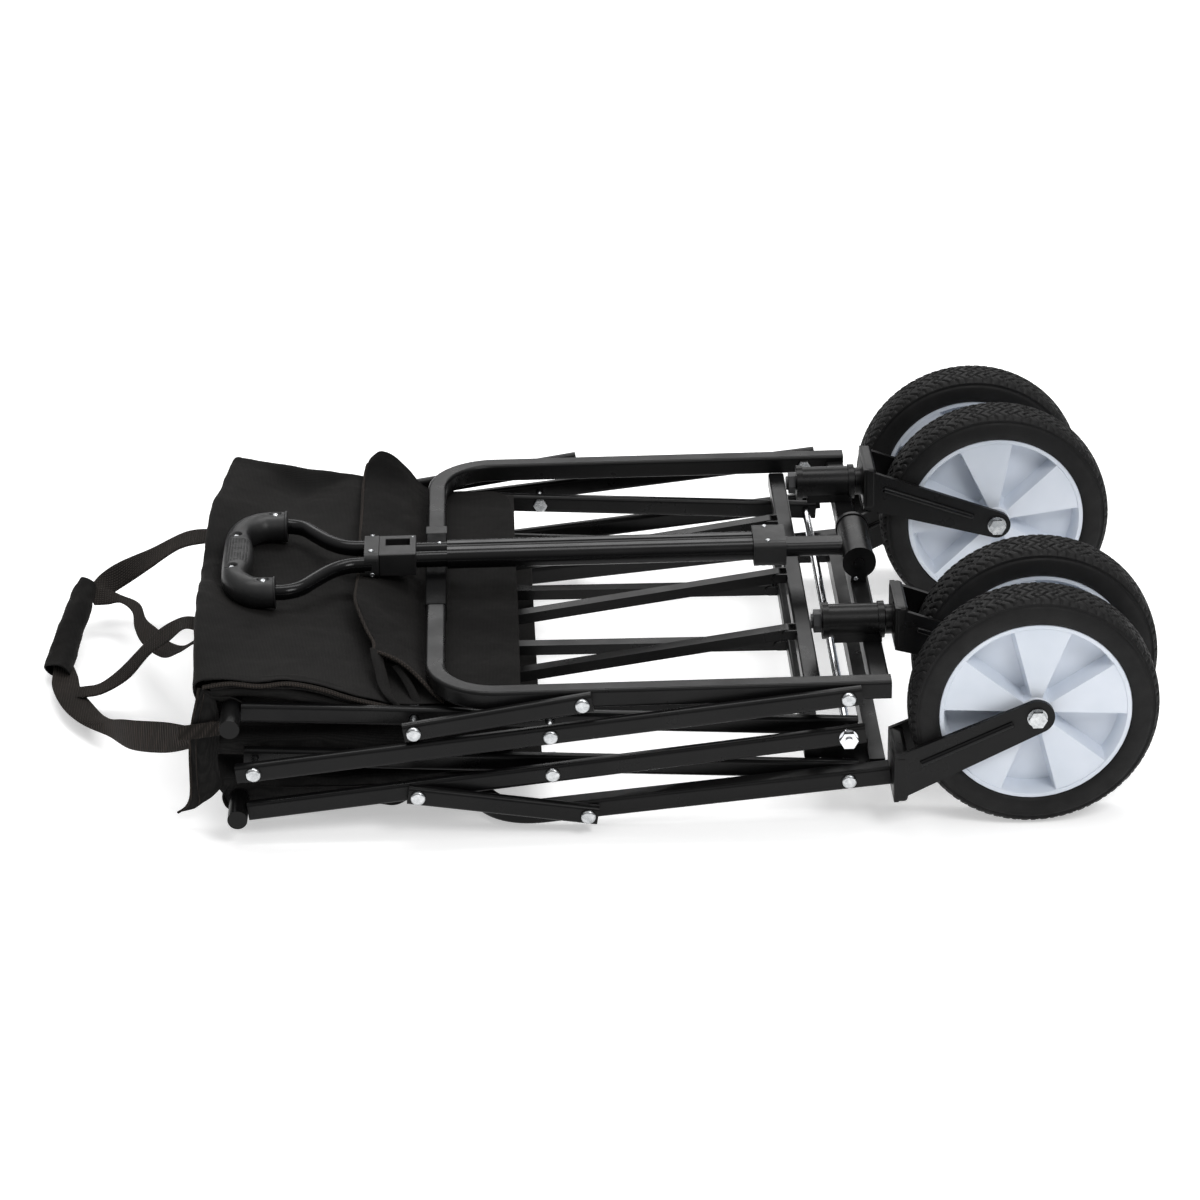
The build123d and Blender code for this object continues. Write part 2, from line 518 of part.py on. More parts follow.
# ---------------------------------------------------------------- side linkages
def linkages():
    """The crossed bars of both sides, their short links, pins and rim tubes."""
    end = 9.0
    export("outer_bars", *both_sides(lambda side: flat_bar(
        CENTRE_TOP, FRONT_PIVOT, OUTER_LAYER, 14.0, 11.0, side, (CENTRE_TOP, FRONT_CROSS, FRONT_PIVOT))))
    export("rear_inner_bars", *both_sides(lambda side: flat_bar(
        CENTRE_TOP, REAR_PIVOT, INNER_LAYER, end, end, side, (CENTRE_TOP, REAR_CROSS, REAR_PIVOT))))
    stop = RIM_REACH - HALF_BAR - RIM_RADIUS
    export("front_rim_bars", *both_sides(lambda side: flat_bar(
        step(FRONT_CROSS, 180 - LEVEL_ANGLE, stop), CENTRE_LOW, INNER_LAYER, 0.0, end, side,
        (FRONT_LINK_TOP, FRONT_CROSS, CENTRE_LOW), ROD_RADIUS + CLEAR)))
    export("rear_rim_bars", *both_sides(lambda side: flat_bar(
        step(REAR_CROSS, 180 + RISE_ANGLE, stop), CENTRE_LOW, LEG_LAYER, 0.0, 14.0, side,
        (REAR_LINK_TOP, REAR_CROSS, CENTRE_LOW), ROD_RADIUS + CLEAR)))
    export("front_links", *both_sides(lambda side: flat_bar(
        FRONT_LINK_TOP, FRONT_LINK_LOW, OUTER_LAYER, 8.0, 8.0, side, (FRONT_LINK_TOP, FRONT_LINK_LOW))))
    export("rear_links", *both_sides(lambda side: flat_bar(
        REAR_LINK_TOP, REAR_LINK_LOW, OUTER_LAYER, 8.0, 8.0, side, (REAR_LINK_TOP, REAR_LINK_LOW))))

    outer_face = OUTER_LAYER + BAR_THICK
    export("centre_top_screws", *both_sides(lambda side: rivet(CENTRE_TOP, outer_face, INNER_LAYER, side)))
    export("front_cross_rivets", *both_sides(lambda side: rivet(FRONT_CROSS, outer_face, INNER_LAYER, side)))
    export("rear_cross_rivets", *both_sides(lambda side: rivet(REAR_CROSS, LEG_OUT, INNER_LAYER, side)))
    export("front_link_pins", *both_sides(lambda side: rivet(FRONT_LINK_TOP, outer_face, INNER_LAYER, side)))
    export("rear_link_pins", *both_sides(lambda side: rivet(REAR_LINK_TOP, outer_face, LEG_LAYER, side)))
    stub = LEG_OUT + 0.2 + CLEAR
    export("front_link_rivets", *both_sides(
        lambda side: rivet(FRONT_LINK_LOW, outer_face, stub, side, tail=False)))
    export("rear_link_rivets", *both_sides(
        lambda side: rivet(REAR_LINK_LOW, outer_face, stub, side, tail=False)))

    x, z = CENTRE_LOW
    rod = cylinder_y(x, z, -LEG_OUT - 9, LEG_OUT + 9, ROD_RADIUS)
    for side in SIDES.values():
        rod += cylinder_y(x, z, side * (LEG_OUT + CLEAR), side * (LEG_OUT + 1.8), 7.5)
        rod += hexagon_y(x, z, side * (LEG_OUT + 1.8), side * (LEG_OUT + 7), BOLT_ACROSS)
    export("centre_rod", rod)

    for name, centre in (("front", FRONT_RIM), ("rear", REAR_RIM)):
        rim = cylinder_y(centre[0], centre[1], -LEG_OUT - 10, LEG_OUT + 10, RIM_RADIUS)
        export(f"{name}_rim_tube", rim)


# ---------------------------------------------------------------- slatted floor
def slat(hinge, mid_y):
    """One slat from its crossbar hinge to the middle hinge, with rounded ends."""
    length = hypot(FLOOR_MIDDLE[0] - hinge[0], FLOOR_MIDDLE[1] - hinge[1])
    along = ((FLOOR_MIDDLE[0] - hinge[0]) / length, 0, (FLOOR_MIDDLE[1] - hinge[1]) / length)
    middle = ((FLOOR_MIDDLE[0] + hinge[0]) / 2, mid_y - SLAT_WIDTH / 2, (FLOOR_MIDDLE[1] + hinge[1]) / 2)
    plane = Plane(origin=middle, x_dir=along, z_dir=(0, 1, 0))
    body = extrude(plane * SlotCenterToCenter(length, SLAT_HEIGHT), SLAT_WIDTH)
    return body - cylinder_y(hinge[0], hinge[1], mid_y - SLAT_WIDTH, mid_y + SLAT_WIDTH,
                             HINGE_PIN_RADIUS + CLEAR)


def floor():
    """Three slats a half, folded to a V that meets at the middle hinge."""
    for name, hinge, offset in (("front", FRONT_HINGE, SLAT_OFFSET), ("rear", REAR_HINGE, -SLAT_OFFSET)):
        export(f"{name}_slats", *[slat(hinge, row + offset) for row in SLAT_ROWS])
    x, z = FLOOR_MIDDLE
    pins = []
    for row in SLAT_ROWS:
        outer = row - SLAT_OFFSET - SLAT_WIDTH / 2
        pins.append(cylinder_y(x, z, outer - 1.5, outer, 3.2))
    export("floor_hinge_rivets", *pins)


# ---------------------------------------------------------------- pull handle
def tube_x(y, z, x_from, x_to, radius, wall):
    """A round tube along X."""
    tube = cylinder_x(y, z, x_from, x_to, radius)
    return tube - cylinder_x(y, z, x_from - 1, x_to + 1, radius - wall)


def handle():
    """The telescopic handle: barrel, oval root, clamp, twin tubes, collars and grip."""
    barrel = cylinder_y(BARREL_X, BARREL_Z, -BARREL_HALF, BARREL_HALF, BARREL_RADIUS)
    barrel -= cylinder_y(BARREL_X, BARREL_Z, -BARREL_HALF - 1, BARREL_HALF + 1, 4.0 + CLEAR)
    root = Plane(origin=(CLAMP_RIGHT_X, 0, BARREL_Z), x_dir=(0, 1, 0), z_dir=(1, 0, 0))
    oval_length = BARREL_X - BARREL_RADIUS + 2 - CLAMP_RIGHT_X
    oval = extrude(root * SlotOverall(ROOT_WIDTH, ROOT_HEIGHT), oval_length)
    export("handle_barrel", barrel + oval)

    clamp_plane = Plane(origin=(CLAMP_LEFT_X, 0, HANDLE_Z), x_dir=(0, 1, 0), z_dir=(1, 0, 0))
    clamp_length = CLAMP_RIGHT_X - CLAMP_LEFT_X
    clamp = extrude(clamp_plane * RectangleRounded(CLAMP_WIDTH, CLAMP_HEIGHT, CORNER), clamp_length)
    pitch = clamp_length / (CLAMP_RIBS + 1)
    low = HANDLE_Z - CLAMP_HEIGHT / 2
    for index in range(CLAMP_RIBS):
        x = CLAMP_LEFT_X + pitch * (index + 1)
        clamp -= block(x - pitch / 4, x + pitch / 4, -CLAMP_WIDTH, CLAMP_WIDTH, low - 1, low + TWIN_WALL)
    export("handle_clamp", clamp)

    outer_length = CLAMP_LEFT_X - OUTER_LEFT_X
    outer_plane = Plane(origin=(OUTER_LEFT_X, 0, HANDLE_Z), x_dir=(0, 1, 0), z_dir=(1, 0, 0))
    twin = outer_plane * SlotCenterToCenter(2 * TWIN_RADIUS, 2 * TWIN_RADIUS)
    outer = extrude(twin, outer_length)
    for side in (-1, 1):
        outer -= cylinder_x(side * TWIN_RADIUS, HANDLE_Z, OUTER_LEFT_X - 1, CLAMP_LEFT_X,
                            TWIN_RADIUS - TWIN_WALL)
    groove = Plane(origin=(OUTER_LEFT_X - 1, 0, HANDLE_Z), x_dir=(0, 1, 0), z_dir=(1, 0, 0))
    for side in (-1, 1):
        notch = groove * Pos(0, side * (TWIN_RADIUS + 3.2)) * Circle(5.0)
        outer -= extrude(notch, outer_length + 2)
    export("handle_outer_tubes", outer)

    bore = TWIN_RADIUS - TWIN_WALL - INNER_GAP
    rods = [tube_x(side * TWIN_RADIUS, HANDLE_Z, LATCH_RIGHT_X, CLAMP_LEFT_X - ARM_LEAD, bore, TUBE_WALL)
            for side in (-1, 1)]
    export("handle_inner_tubes", *rods)

    latch_plane = Plane(origin=(LATCH_LEFT_X, 0, HANDLE_Z), x_dir=(0, 1, 0), z_dir=(1, 0, 0))
    latch_length = LATCH_RIGHT_X - LATCH_LEFT_X
    latch = extrude(latch_plane * RectangleRounded(LATCH_WIDTH, LATCH_HEIGHT, CORNER), latch_length)
    slot_x = (LATCH_LEFT_X + LATCH_RIGHT_X) / 2
    along = SLOT_LENGTH / 2
    across = SLOT_WIDTH / 2
    top = HANDLE_Z + LATCH_HEIGHT / 2
    floor_z = top - SLOT_DEPTH
    latch -= block(slot_x - along, slot_x + along, -across, across, floor_z, top + 1)
    export("latch_housing", latch)
    button = block(slot_x - along + CLEAR, slot_x + along - CLEAR, -across + CLEAR, across - CLEAR,
                   floor_z + BUTTON_TRAVEL + CLEAR, top - 1.0)
    export("latch_button", fillet(button.edges().filter_by(Axis.Z), 1.5))

    collar_x = LATCH_LEFT_X - COLLAR_LENGTH
    collar_plane = Plane(origin=(collar_x, 0, HANDLE_Z), x_dir=(0, 1, 0), z_dir=(1, 0, 0))
    collar = extrude(collar_plane * RectangleRounded(COLLAR_WIDTH, COLLAR_HEIGHT, CORNER), COLLAR_LENGTH)
    export("handle_collar", collar)

    arms = []
    for side in (-1, 1):
        path = FilletPolyline(
            (collar_x, side * ARM_ROOT, HANDLE_Z), (collar_x - ARM_LEAD, side * ARM_ROOT, HANDLE_Z),
            (GRIP_ARM_X + ARM_LEAD, side * GRIP_HALF, HANDLE_Z), (GRIP_ARM_X, side * GRIP_HALF, HANDLE_Z),
            radius=ARM_BEND)
        ring = Plane(origin=path @ 0, z_dir=path % 0) * Circle(ARM_TUBE_RADIUS)
        arms.append(sweep(ring, path=path))
    export("handle_arms", *arms)

    path = FilletPolyline(
        (GRIP_ARM_X, GRIP_HALF, HANDLE_Z), (GRIP_X, GRIP_HALF, HANDLE_Z),
        (GRIP_X, -GRIP_HALF, HANDLE_Z), (GRIP_ARM_X, -GRIP_HALF, HANDLE_Z), radius=GRIP_BEND)
    section = Plane(origin=path @ 0, x_dir=(0, 0, 1), z_dir=path % 0) * Ellipse(GRIP_RADIUS - 1, GRIP_RADIUS)
    grip = sweep(section, path=path)
    export("handle_grip", grip)


# ---------------------------------------------------------------- fabric
def cloth_panel(x_from, x_to, half, z_low, thick, corner):
    """A flat panel with rounded corners towards the wheels."""
    body = block(x_from, x_to, -half, half, z_low, z_low + thick)
    corners = [edge for edge in body.edges().filter_by(Axis.Z) if edge.center().X > (x_from + x_to) / 2]
    return fillet(corners, corner)


def sleeve(centre):
    """The hem that a wall's edge makes round its rim tube."""
    return cylinder_y(centre[0], centre[1], -CLOTH_HALF, CLOTH_HALF, RIM_RADIUS + CLOTH)


def rim_bore(centre):
    """The room of a rim tube in its hem."""
    return cylinder_y(centre[0], centre[1], -CLOTH_HALF - 1, CLOTH_HALF + 1, RIM_RADIUS)


def ruled(sections):
    """A solid through closed outlines in planes across Y."""
    faces = []
    for y, outline in sections:
        plane = Plane(origin=(0, y, 0), x_dir=(1, 0, 0), z_dir=(0, -1, 0))
        faces.append(make_face(plane * Polyline(*outline, close=True)))
    return loft(faces, ruled=True)


def front_wall():
    """The front wall: it swells over its rim tube, dips under the grip and lies flat under the frame."""
    under = FRONT_LEG_Z - FRAME_TUBE / 2 - 1.0
    rim_x, rim_z = FRONT_RIM
    end_x = rim_x + WALL_LENGTH
    grip_x = GRIP_X - GRIP_RADIUS - 1.0
    flat_x = FRONT_TOP_X - FRAME_TUBE / 2 - 3.0
    sections = []
    for share, edge, behind in SWELL:
        sections.append((share * CLOTH_HALF, [
            (rim_x - RIM_RADIUS - CLOTH, rim_z - RIM_RADIUS), (rim_x - SWELL_EDGE, rim_z + edge / 2),
            (rim_x - SWELL_EDGE + 2, rim_z + edge), (grip_x, rim_z + edge), (grip_x + 5, rim_z + behind),
            (rim_x + 40, rim_z + behind), (flat_x, under), (end_x, under), (end_x, under - FRONT_WALL / 2),
            (rim_x, under - FRONT_WALL)]))
    wall = ruled(sections)
    sections = []
    for share, place, height in HEM:
        left = rim_x + place
        top = max(left + 20.0, flat_x)
        sections.append((share * CLOTH_HALF, [
            (left, under - CLOTH), (left, under + height), (left + 12.0, under + height), (top, under),
            (top + 5.0, under), (top + 5.0, under - CLOTH)]))
    return wall + ruled(sections)


def band(stops, width, thick):
    """Flat webbing, or a flat pad, through its stops."""
    sections = []
    for index, (centre, across) in enumerate(stops):
        before = Vector(*stops[max(index - 1, 0)][0])
        after = Vector(*stops[min(index + 1, len(stops) - 1)][0])
        plane = Plane(origin=centre, x_dir=across, z_dir=(after - before).normalized())
        sections.append(plane * Rectangle(width, thick))
    return loft(sections, ruled=True)


def fabric():
    """The folded basket's walls with their hems, its sides and the carry strap."""
    front = front_wall() + sleeve(FRONT_RIM)
    export("basket_front_wall", front - rim_bore(FRONT_RIM))

    under = FRONT_LEG_Z - FRAME_TUBE / 2 - 1.0
    start = RIM_RADIUS + CLOTH
    rear = cloth_panel(-CLOTH - 2, WALL_LENGTH - 2 * start, CLOTH_HALF, -REAR_WALL, REAR_WALL, WALL_CORNER)
    place = Pos(REAR_RIM[0] + start, 0, REAR_RIM[1])
    rear = place * Rot(0, -REAR_WALL_SLOPE, 0) * rear
    half = CLOTH_HALF - SIDE_FOLD - 4
    side_left = FRONT_RIM[0] + SIDE_INSET
    side_right = side_left + SIDE_LENGTH
    rear += block(side_left, FLOOR_MIDDLE[0] - FLOOR_ROOM, -half, half, REAR_RIM[1], under - SIDE_DROP)
    rear += sleeve(REAR_RIM)
    export("basket_rear_wall", rear - rim_bore(REAR_RIM))

    for name, side in SIDES.items():
        low, high = sorted((side * (CLOTH_HALF - SIDE_FOLD), side * CLOTH_HALF))
        outline = Polyline(
            (side_left, SIDE_LOW_Z), (side_right, SIDE_LOW_Z + SIDE_RISE),
            (side_right, under - SIDE_DROP), (side_left, under - SIDE_DROP), close=True)
        plane = Plane(origin=(0, low, 0), x_dir=(1, 0, 0), z_dir=(0, -1, 0))
        export(f"basket_side_{name}", extrude(make_face(plane * outline), -(high - low)))

    strap = band(UPPER_BAND, BAND, BAND_THICK) + band(LOW_BAND, BAND, BAND_THICK)
    strap += band(PAD_STOPS, PAD, PAD_THICK)
    export("carry_strap", strap)


# ---------------------------------------------------------------- build
os.makedirs("parts", exist_ok=True)
rear_frame()
rear_forks()
front_frame()
casters()
wheels()
linkages()
floor()
handle()
fabric()
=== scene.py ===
"""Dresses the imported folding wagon: finishes, tyres, hubs, fabric, webbing, light and camera."""
import bpy
import json
from math import copysign, cos, hypot, pi, radians, sin, tau
from mathutils import Matrix, Vector, noise


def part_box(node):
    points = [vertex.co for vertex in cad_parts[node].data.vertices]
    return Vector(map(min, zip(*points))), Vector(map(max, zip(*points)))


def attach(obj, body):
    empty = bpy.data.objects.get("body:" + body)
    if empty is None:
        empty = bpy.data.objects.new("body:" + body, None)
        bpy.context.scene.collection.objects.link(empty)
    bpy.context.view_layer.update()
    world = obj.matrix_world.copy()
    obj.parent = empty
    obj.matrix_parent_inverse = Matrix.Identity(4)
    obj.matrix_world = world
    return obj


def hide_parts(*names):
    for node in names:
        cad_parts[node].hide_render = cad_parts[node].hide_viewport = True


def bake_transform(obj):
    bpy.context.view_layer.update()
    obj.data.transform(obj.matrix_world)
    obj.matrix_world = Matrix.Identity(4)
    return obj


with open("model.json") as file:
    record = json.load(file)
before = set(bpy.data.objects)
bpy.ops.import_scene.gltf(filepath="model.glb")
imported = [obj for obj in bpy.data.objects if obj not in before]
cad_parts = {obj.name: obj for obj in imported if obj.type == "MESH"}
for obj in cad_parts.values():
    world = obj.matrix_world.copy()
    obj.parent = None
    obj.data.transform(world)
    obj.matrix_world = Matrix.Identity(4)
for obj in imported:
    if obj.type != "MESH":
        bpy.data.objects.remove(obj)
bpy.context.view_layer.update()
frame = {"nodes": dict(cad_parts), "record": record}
NODES = frame["nodes"]
SIDES = ((-1, "near"), (1, "far"))
FRONT, REAR = "front_basket", "rear_basket"    # the basket's two bodies
MM = 0.001
CENTRE_X = 195.38          # the part's X runs this far ahead of the linkage's own X, in mm


def at(x, y, z):
    """A point of the linkage's own millimetres, in the part's frame in metres."""
    return Vector(((x + CENTRE_X) * MM, y * MM, z * MM))


def clamp(value):
    return min(1, max(0, value))


def around(count):
    """The cosine and sine of evenly spaced angles of one turn."""
    return [(cos(tau * k / count), sin(tau * k / count)) for k in range(count)]


def new_object(name, data):
    obj = bpy.data.objects.new(name, data)
    bpy.context.scene.collection.objects.link(obj)
    return obj


# ---------------- materials
def node(tree, kind, **settings):
    """A shader node, with each setting put on its socket or, failing that, on the node."""
    made = tree.nodes.new(kind)
    for key, value in settings.items():
        name = key.replace("_", " ")
        if name in made.inputs:
            made.inputs[name].default_value = value
        else:
            setattr(made, key, value)
    return made


def object_coords(tree):
    return tree.nodes.new("ShaderNodeTexCoord").outputs["Object"]


def noise_node(tree, scale, detail, rough=0.55):
    made = node(tree, "ShaderNodeTexNoise", Scale=scale, Detail=detail, Roughness=rough)
    tree.links.new(object_coords(tree), made.inputs["Vector"])
    return made.outputs["Fac"]


def ramp(tree, factor, stops):
    """A colour ramp of (place, colour or grey level) stops."""
    made = tree.nodes.new("ShaderNodeValToRGB")
    tree.links.new(factor, made.inputs["Fac"])
    elements = made.color_ramp.elements
    while len(elements) < len(stops):
        elements.new(0.5)
    for element, (place, value) in zip(elements, stops):
        element.position = place
        element.color = (*value, 1) if hasattr(value, "__len__") else (value, value, value, 1)
    return made.outputs["Color"]


def maths(tree, operation, a, b):
    made = node(tree, "ShaderNodeMath", operation=operation)
    for socket, value in zip(made.inputs, (a, b)):
        if hasattr(value, "is_output"):
            tree.links.new(value, socket)
        else:
            socket.default_value = value
    return made.outputs[0]


def bump(tree, shader, height, strength, distance):
    """A bump on top of the ones that the shader already has."""
    made = node(tree, "ShaderNodeBump", Strength=strength, Distance=distance)
    tree.links.new(height, made.inputs["Height"])
    previous = shader.inputs["Normal"].links
    if previous:
        tree.links.new(previous[0].from_socket, made.inputs["Normal"])
    tree.links.new(made.outputs["Normal"], shader.inputs["Normal"])


USUAL_PLACES = (0.3, 0.7)


def material(name, base, roughness, metallic=0, tone=None, gloss=None, bumps=(), **sockets):
    """A principled material.

    tone and gloss vary its colour and roughness: each is a noise's scale and detail, the lowest and highest
    value, and the noise levels where they are reached. Each row of bumps is a noise's scale and detail, a
    strength, and a distance in metres."""
    mat = bpy.data.materials.new(name)
    mat.use_nodes = True
    tree = mat.node_tree
    shader = tree.nodes["Principled BSDF"]
    shader.inputs["Base Color"].default_value = (*base, 1)
    shader.inputs["Roughness"].default_value = roughness
    shader.inputs["Metallic"].default_value = metallic
    for key, value in sockets.items():
        shader.inputs[key.replace("_", " ")].default_value = value
    for socket, row in (("Base Color", tone), ("Roughness", gloss)):
        if row:
            scale, detail, low, high, *places = row
            stops = zip(places[0] if places else USUAL_PLACES, (low, high))
            tree.links.new(ramp(tree, noise_node(tree, scale, detail), list(stops)), shader.inputs[socket])
    for scale, detail, strength, distance in bumps:
        bump(tree, shader, noise_node(tree, scale, detail), strength, distance)
    return mat


def weave(name, dark, light, pitch, strength, brown=0):
    """Woven cloth: warp and weft waves over and under one another, with a worn, uneven tone."""
    mat = material(name, dark, 0.85, Sheen_Weight=0.05, Sheen_Roughness=0.5,
                   Sheen_Tint=(0.5, 0.45, 0.42, 1), Specular_IOR_Level=0.08)
    tree = mat.node_tree
    shader = tree.nodes["Principled BSDF"]
    coords = object_coords(tree)
    waves = []
    for direction in ("X", "Y"):
        wave = node(tree, "ShaderNodeTexWave", Scale=1.0 / pitch / 3.2, Distortion=0.6, Detail=1,
                    wave_type="BANDS", bands_direction=direction, wave_profile="SIN")
        tree.links.new(coords, wave.inputs["Vector"])
        waves.append(wave.outputs["Fac"])
    threads = maths(tree, "MULTIPLY", *waves)
    tone = noise_node(tree, 12, 6, 0.6)
    mix = maths(tree, "ADD", maths(tree, "MULTIPLY", threads, 0.45), maths(tree, "MULTIPLY", tone, 0.55))
    stops = [(0.2, dark), (0.62, light)]
    if brown:
        stops.append((0.8, tuple(c * (1 + brown * k) for c, k in zip(light, (1, 0.5, 0.2)))))
    tree.links.new(ramp(tree, mix, stops), shader.inputs["Base Color"])
    bump(tree, shader, threads, strength, pitch * 0.6)
    bump(tree, shader, noise_node(tree, 45, 5), 0.25, 0.002)
    return mat


CLOTH_PITCH = 0.0011       # metres from thread to thread
WEBBING_PITCH = 0.0022
MATERIALS = {
    # black powder coat: a fine orange peel, a soft sheen and a little wear of the gloss
    "coated_steel": material(
        "coated_steel_black", (0.005, 0.005, 0.0053), 0.34, Specular_IOR_Level=0.16,
        tone=(9, 4, (0.003, 0.003, 0.0032), (0.0065, 0.0064, 0.0064)),
        gloss=(30, 5, 0.25, 0.38, (0.3, 0.72)),
        bumps=((900, 2, 0.12, 0.0004), (60, 2, 0.05, 0.002))),
    # the handle's tubes and arms: the same black, glossier, with small clear highlights
    "gloss_steel": material(
        "gloss_steel_black", (0.003, 0.003, 0.0032), 0.2, Specular_IOR_Level=0.18,
        gloss=(40, 4, 0.16, 0.26, (0.3, 0.72)), bumps=((700, 2, 0.08, 0.0004),)),
    # the blackened stems of the casters
    "dark_steel": material(
        "steel_blackened", (0.02, 0.02, 0.021), 0.4, 0.4, Specular_IOR_Level=0.4,
        gloss=(200, 3, 0.32, 0.5)),
    "zinc_hardware": material(
        "zinc_bright", (0.5, 0.52, 0.53), 0.28, 1,
        tone=(260, 4, (0.36, 0.375, 0.385), (0.6, 0.61, 0.62)),
        gloss=(260, 4, 0.34, 0.18), bumps=((500, 3, 0.1, 0.0003),)),
    "bright_rod": material(
        "rod_plated", (0.75, 0.76, 0.78), 0.14, 1, gloss=(120, 3, 0.1, 0.24, (0.35, 0.7))),
    # moulded rubber: nearly black, matt, with a pale bloom in places
    "tyre_rubber": material(
        "tyre_black", (0.006, 0.006, 0.0063), 0.55, Specular_IOR_Level=0.2,
        tone=(40, 6, (0.0045, 0.0045, 0.0047), (0.01, 0.0098, 0.0097), (0.3, 0.75)),
        gloss=(90, 4, 0.52, 0.7), bumps=((700, 3, 0.25, 0.0004),)),
    # white moulded plastic with a cool cast, a faint flow pattern and a fine grain
    "hub_plastic": material(
        "hub_white", (0.8, 0.84, 0.9), 0.38, Subsurface_Weight=0.08,
        Subsurface_Radius=(0.004, 0.004, 0.005),
        tone=(18, 3, (0.58, 0.63, 0.7), (0.67, 0.71, 0.78)),
        gloss=(60, 3, 0.33, 0.46), bumps=((1200, 2, 0.08, 0.0002),)),
    # black moulded plastic with a fine spark-eroded texture
    "moulded_plastic": material(
        "plastic_black", (0.01, 0.01, 0.0105), 0.42, Specular_IOR_Level=0.35,
        tone=(25, 4, (0.008, 0.008, 0.0084), (0.014, 0.014, 0.014)),
        gloss=(50, 3, 0.36, 0.5), bumps=((1500, 2, 0.3, 0.0003),)),
    "basket_fabric": weave("cloth_black", (0.006, 0.006, 0.006), (0.016, 0.0155, 0.015), CLOTH_PITCH, 0.35),
    # the basket's cloth made darker: painted shade, for the pocket layer and the strap's pad
    "fabric_painted_shade": weave("cloth_black_painted_shade", (0.003, 0.003, 0.003), (0.008, 0.0078, 0.0076),
                           CLOTH_PITCH, 0.35),
    # black plastic made darker than the other: painted shade of the handle on the bar's sleeve
    "matt_black_painted_shade": material(
        "plastic_black_matt_painted_shade", (0.0025, 0.0025, 0.0026), 0.6, Specular_IOR_Level=0.1,
        gloss=(80, 3, 0.5, 0.7), bumps=((1200, 2, 0.3, 0.0003),)),
    "webbing": weave("webbing_black", (0.01, 0.009, 0.008), (0.034, 0.029, 0.026), WEBBING_PITCH, 0.8,
                     brown=0.6),
}


# ---------------- camera and stage
CAMERA_AIM = (-187.9, 0, 92.9)       # in the linkage's millimetres, as is the place
CAMERA_PLACE = (-258.94, -3031.32, 1548.12)
CAMERA_ROLL = radians(-1.08)
CAMERA_LENS = 119.63
FLOOR_HALF = 6.0           # metres from the middle to each edge
FLOOR_DROP = 0.0006        # metres under the lowest piece


def camera():
    target, place = at(*CAMERA_AIM), at(*CAMERA_PLACE)
    ahead = (target - place).normalized()
    side = ahead.cross(Vector((0, 0, 1))).normalized()
    up = side.cross(ahead)
    right = side * cos(CAMERA_ROLL) + up * sin(CAMERA_ROLL)
    top = up * cos(CAMERA_ROLL) - side * sin(CAMERA_ROLL)
    data = bpy.data.cameras.new("camera")
    data.sensor_width = 36.0
    data.lens = CAMERA_LENS
    data.clip_end = 50.0
    obj = new_object("camera", data)
    obj.matrix_world = Matrix.Translation(place) @ Matrix((right, top, -ahead)).transposed().to_4x4()
    bpy.context.scene.camera = obj


def area_light(name, place, aim, size, power):
    data = bpy.data.lights.new(name, "AREA")
    data.shape = "RECTANGLE"
    data.size, data.size_y = size
    data.energy = power
    obj = new_object(name, data)
    obj.location = place
    obj.rotation_euler = (Vector(aim) - Vector(place)).to_track_quat("-Z", "Y").to_euler()


def stage():
    """A white floor, a sky that darkens towards the ground, and three soft lamps."""
    mesh = bpy.data.meshes.new("floor")
    mesh.from_pydata([(x * FLOOR_HALF, y * FLOOR_HALF, 0) for x, y in ((-1, -1), (1, -1), (1, 1), (-1, 1))],
                     [], [(0, 1, 2, 3)])
    floor = new_object("floor", mesh)
    floor.location.z = -FLOOR_DROP
    mesh.materials.append(material("floor_white", (0.82, 0.82, 0.82), 0.9, Specular_IOR_Level=0.1,
                                   Emission_Color=(1, 1, 1, 1), Emission_Strength=0.45))
    world = bpy.data.worlds.new("studio")
    world.use_nodes = True
    tree = world.node_tree
    ahead = tree.nodes.new("ShaderNodeTexCoord").outputs["Generated"]
    split = tree.nodes.new("ShaderNodeSeparateXYZ")
    tree.links.new(ahead, split.inputs["Vector"])
    sky = ramp(tree, split.outputs["Z"], [(0.25, (0.16, 0.16, 0.165)), (0.8, 1)])
    tree.links.new(sky, tree.nodes["Background"].inputs["Color"])
    tree.nodes["Background"].inputs["Strength"].default_value = 0.8
    bpy.context.scene.world = world
    bpy.context.scene.view_settings.view_transform = "Standard"
    area_light("key", (1.1, -1.7, 2.1), (0.1, 0, 0.08), (0.9, 0.9), 27)
    area_light("top", (0, 0.6, 2.6), (0, 0, 0.05), (2.2, 1), 38)
    area_light("back", (0.1, 2.7, 1.5), (0, 0, 0.1), (3, 0.8), 19)


# ---------------- mesh helpers
def round_edges(obj, width, segments, degrees=30, harden=True):
    """A bevel of the sharp edges, its width in mm."""
    bevel = obj.modifiers.new("edge", "BEVEL")
    bevel.width = width * MM
    bevel.segments = segments
    bevel.limit_method = "ANGLE"
    bevel.angle_limit = radians(degrees)
    bevel.harden_normals = harden


def thicken(obj, thickness, offset=0, soften=True):
    """Gives a sheet its thickness in mm and, unless it is webbing, a round of smoothing."""
    solid = obj.modifiers.new("thickness", "SOLIDIFY")
    solid.thickness = thickness * MM
    solid.offset = offset
    if soften:
        smooth = obj.modifiers.new("smooth", "SUBSURF")
        smooth.levels = smooth.render_levels = 1


def new_mesh(name, verts, faces, mat, sharp=None):
    """A smooth-shaded mesh, with hard edges above the given angle in degrees."""
    mesh = bpy.data.meshes.new(name)
    mesh.from_pydata([tuple(v) for v in verts], [], faces)
    mesh.validate()
    for polygon in mesh.polygons:
        polygon.use_smooth = True
    if sharp:
        mesh.set_sharp_from_angle(angle=radians(sharp))
    mesh.materials.append(MATERIALS[mat])
    return mesh


def add_mesh(name, verts, faces, slot, body=None, finish=None):
    """A new object from plain vertices and faces, with its slot's material or another finish of it."""
    obj = new_object(name, new_mesh(name, verts, faces, finish or slot))
    if body:
        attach(obj, body)
    return obj


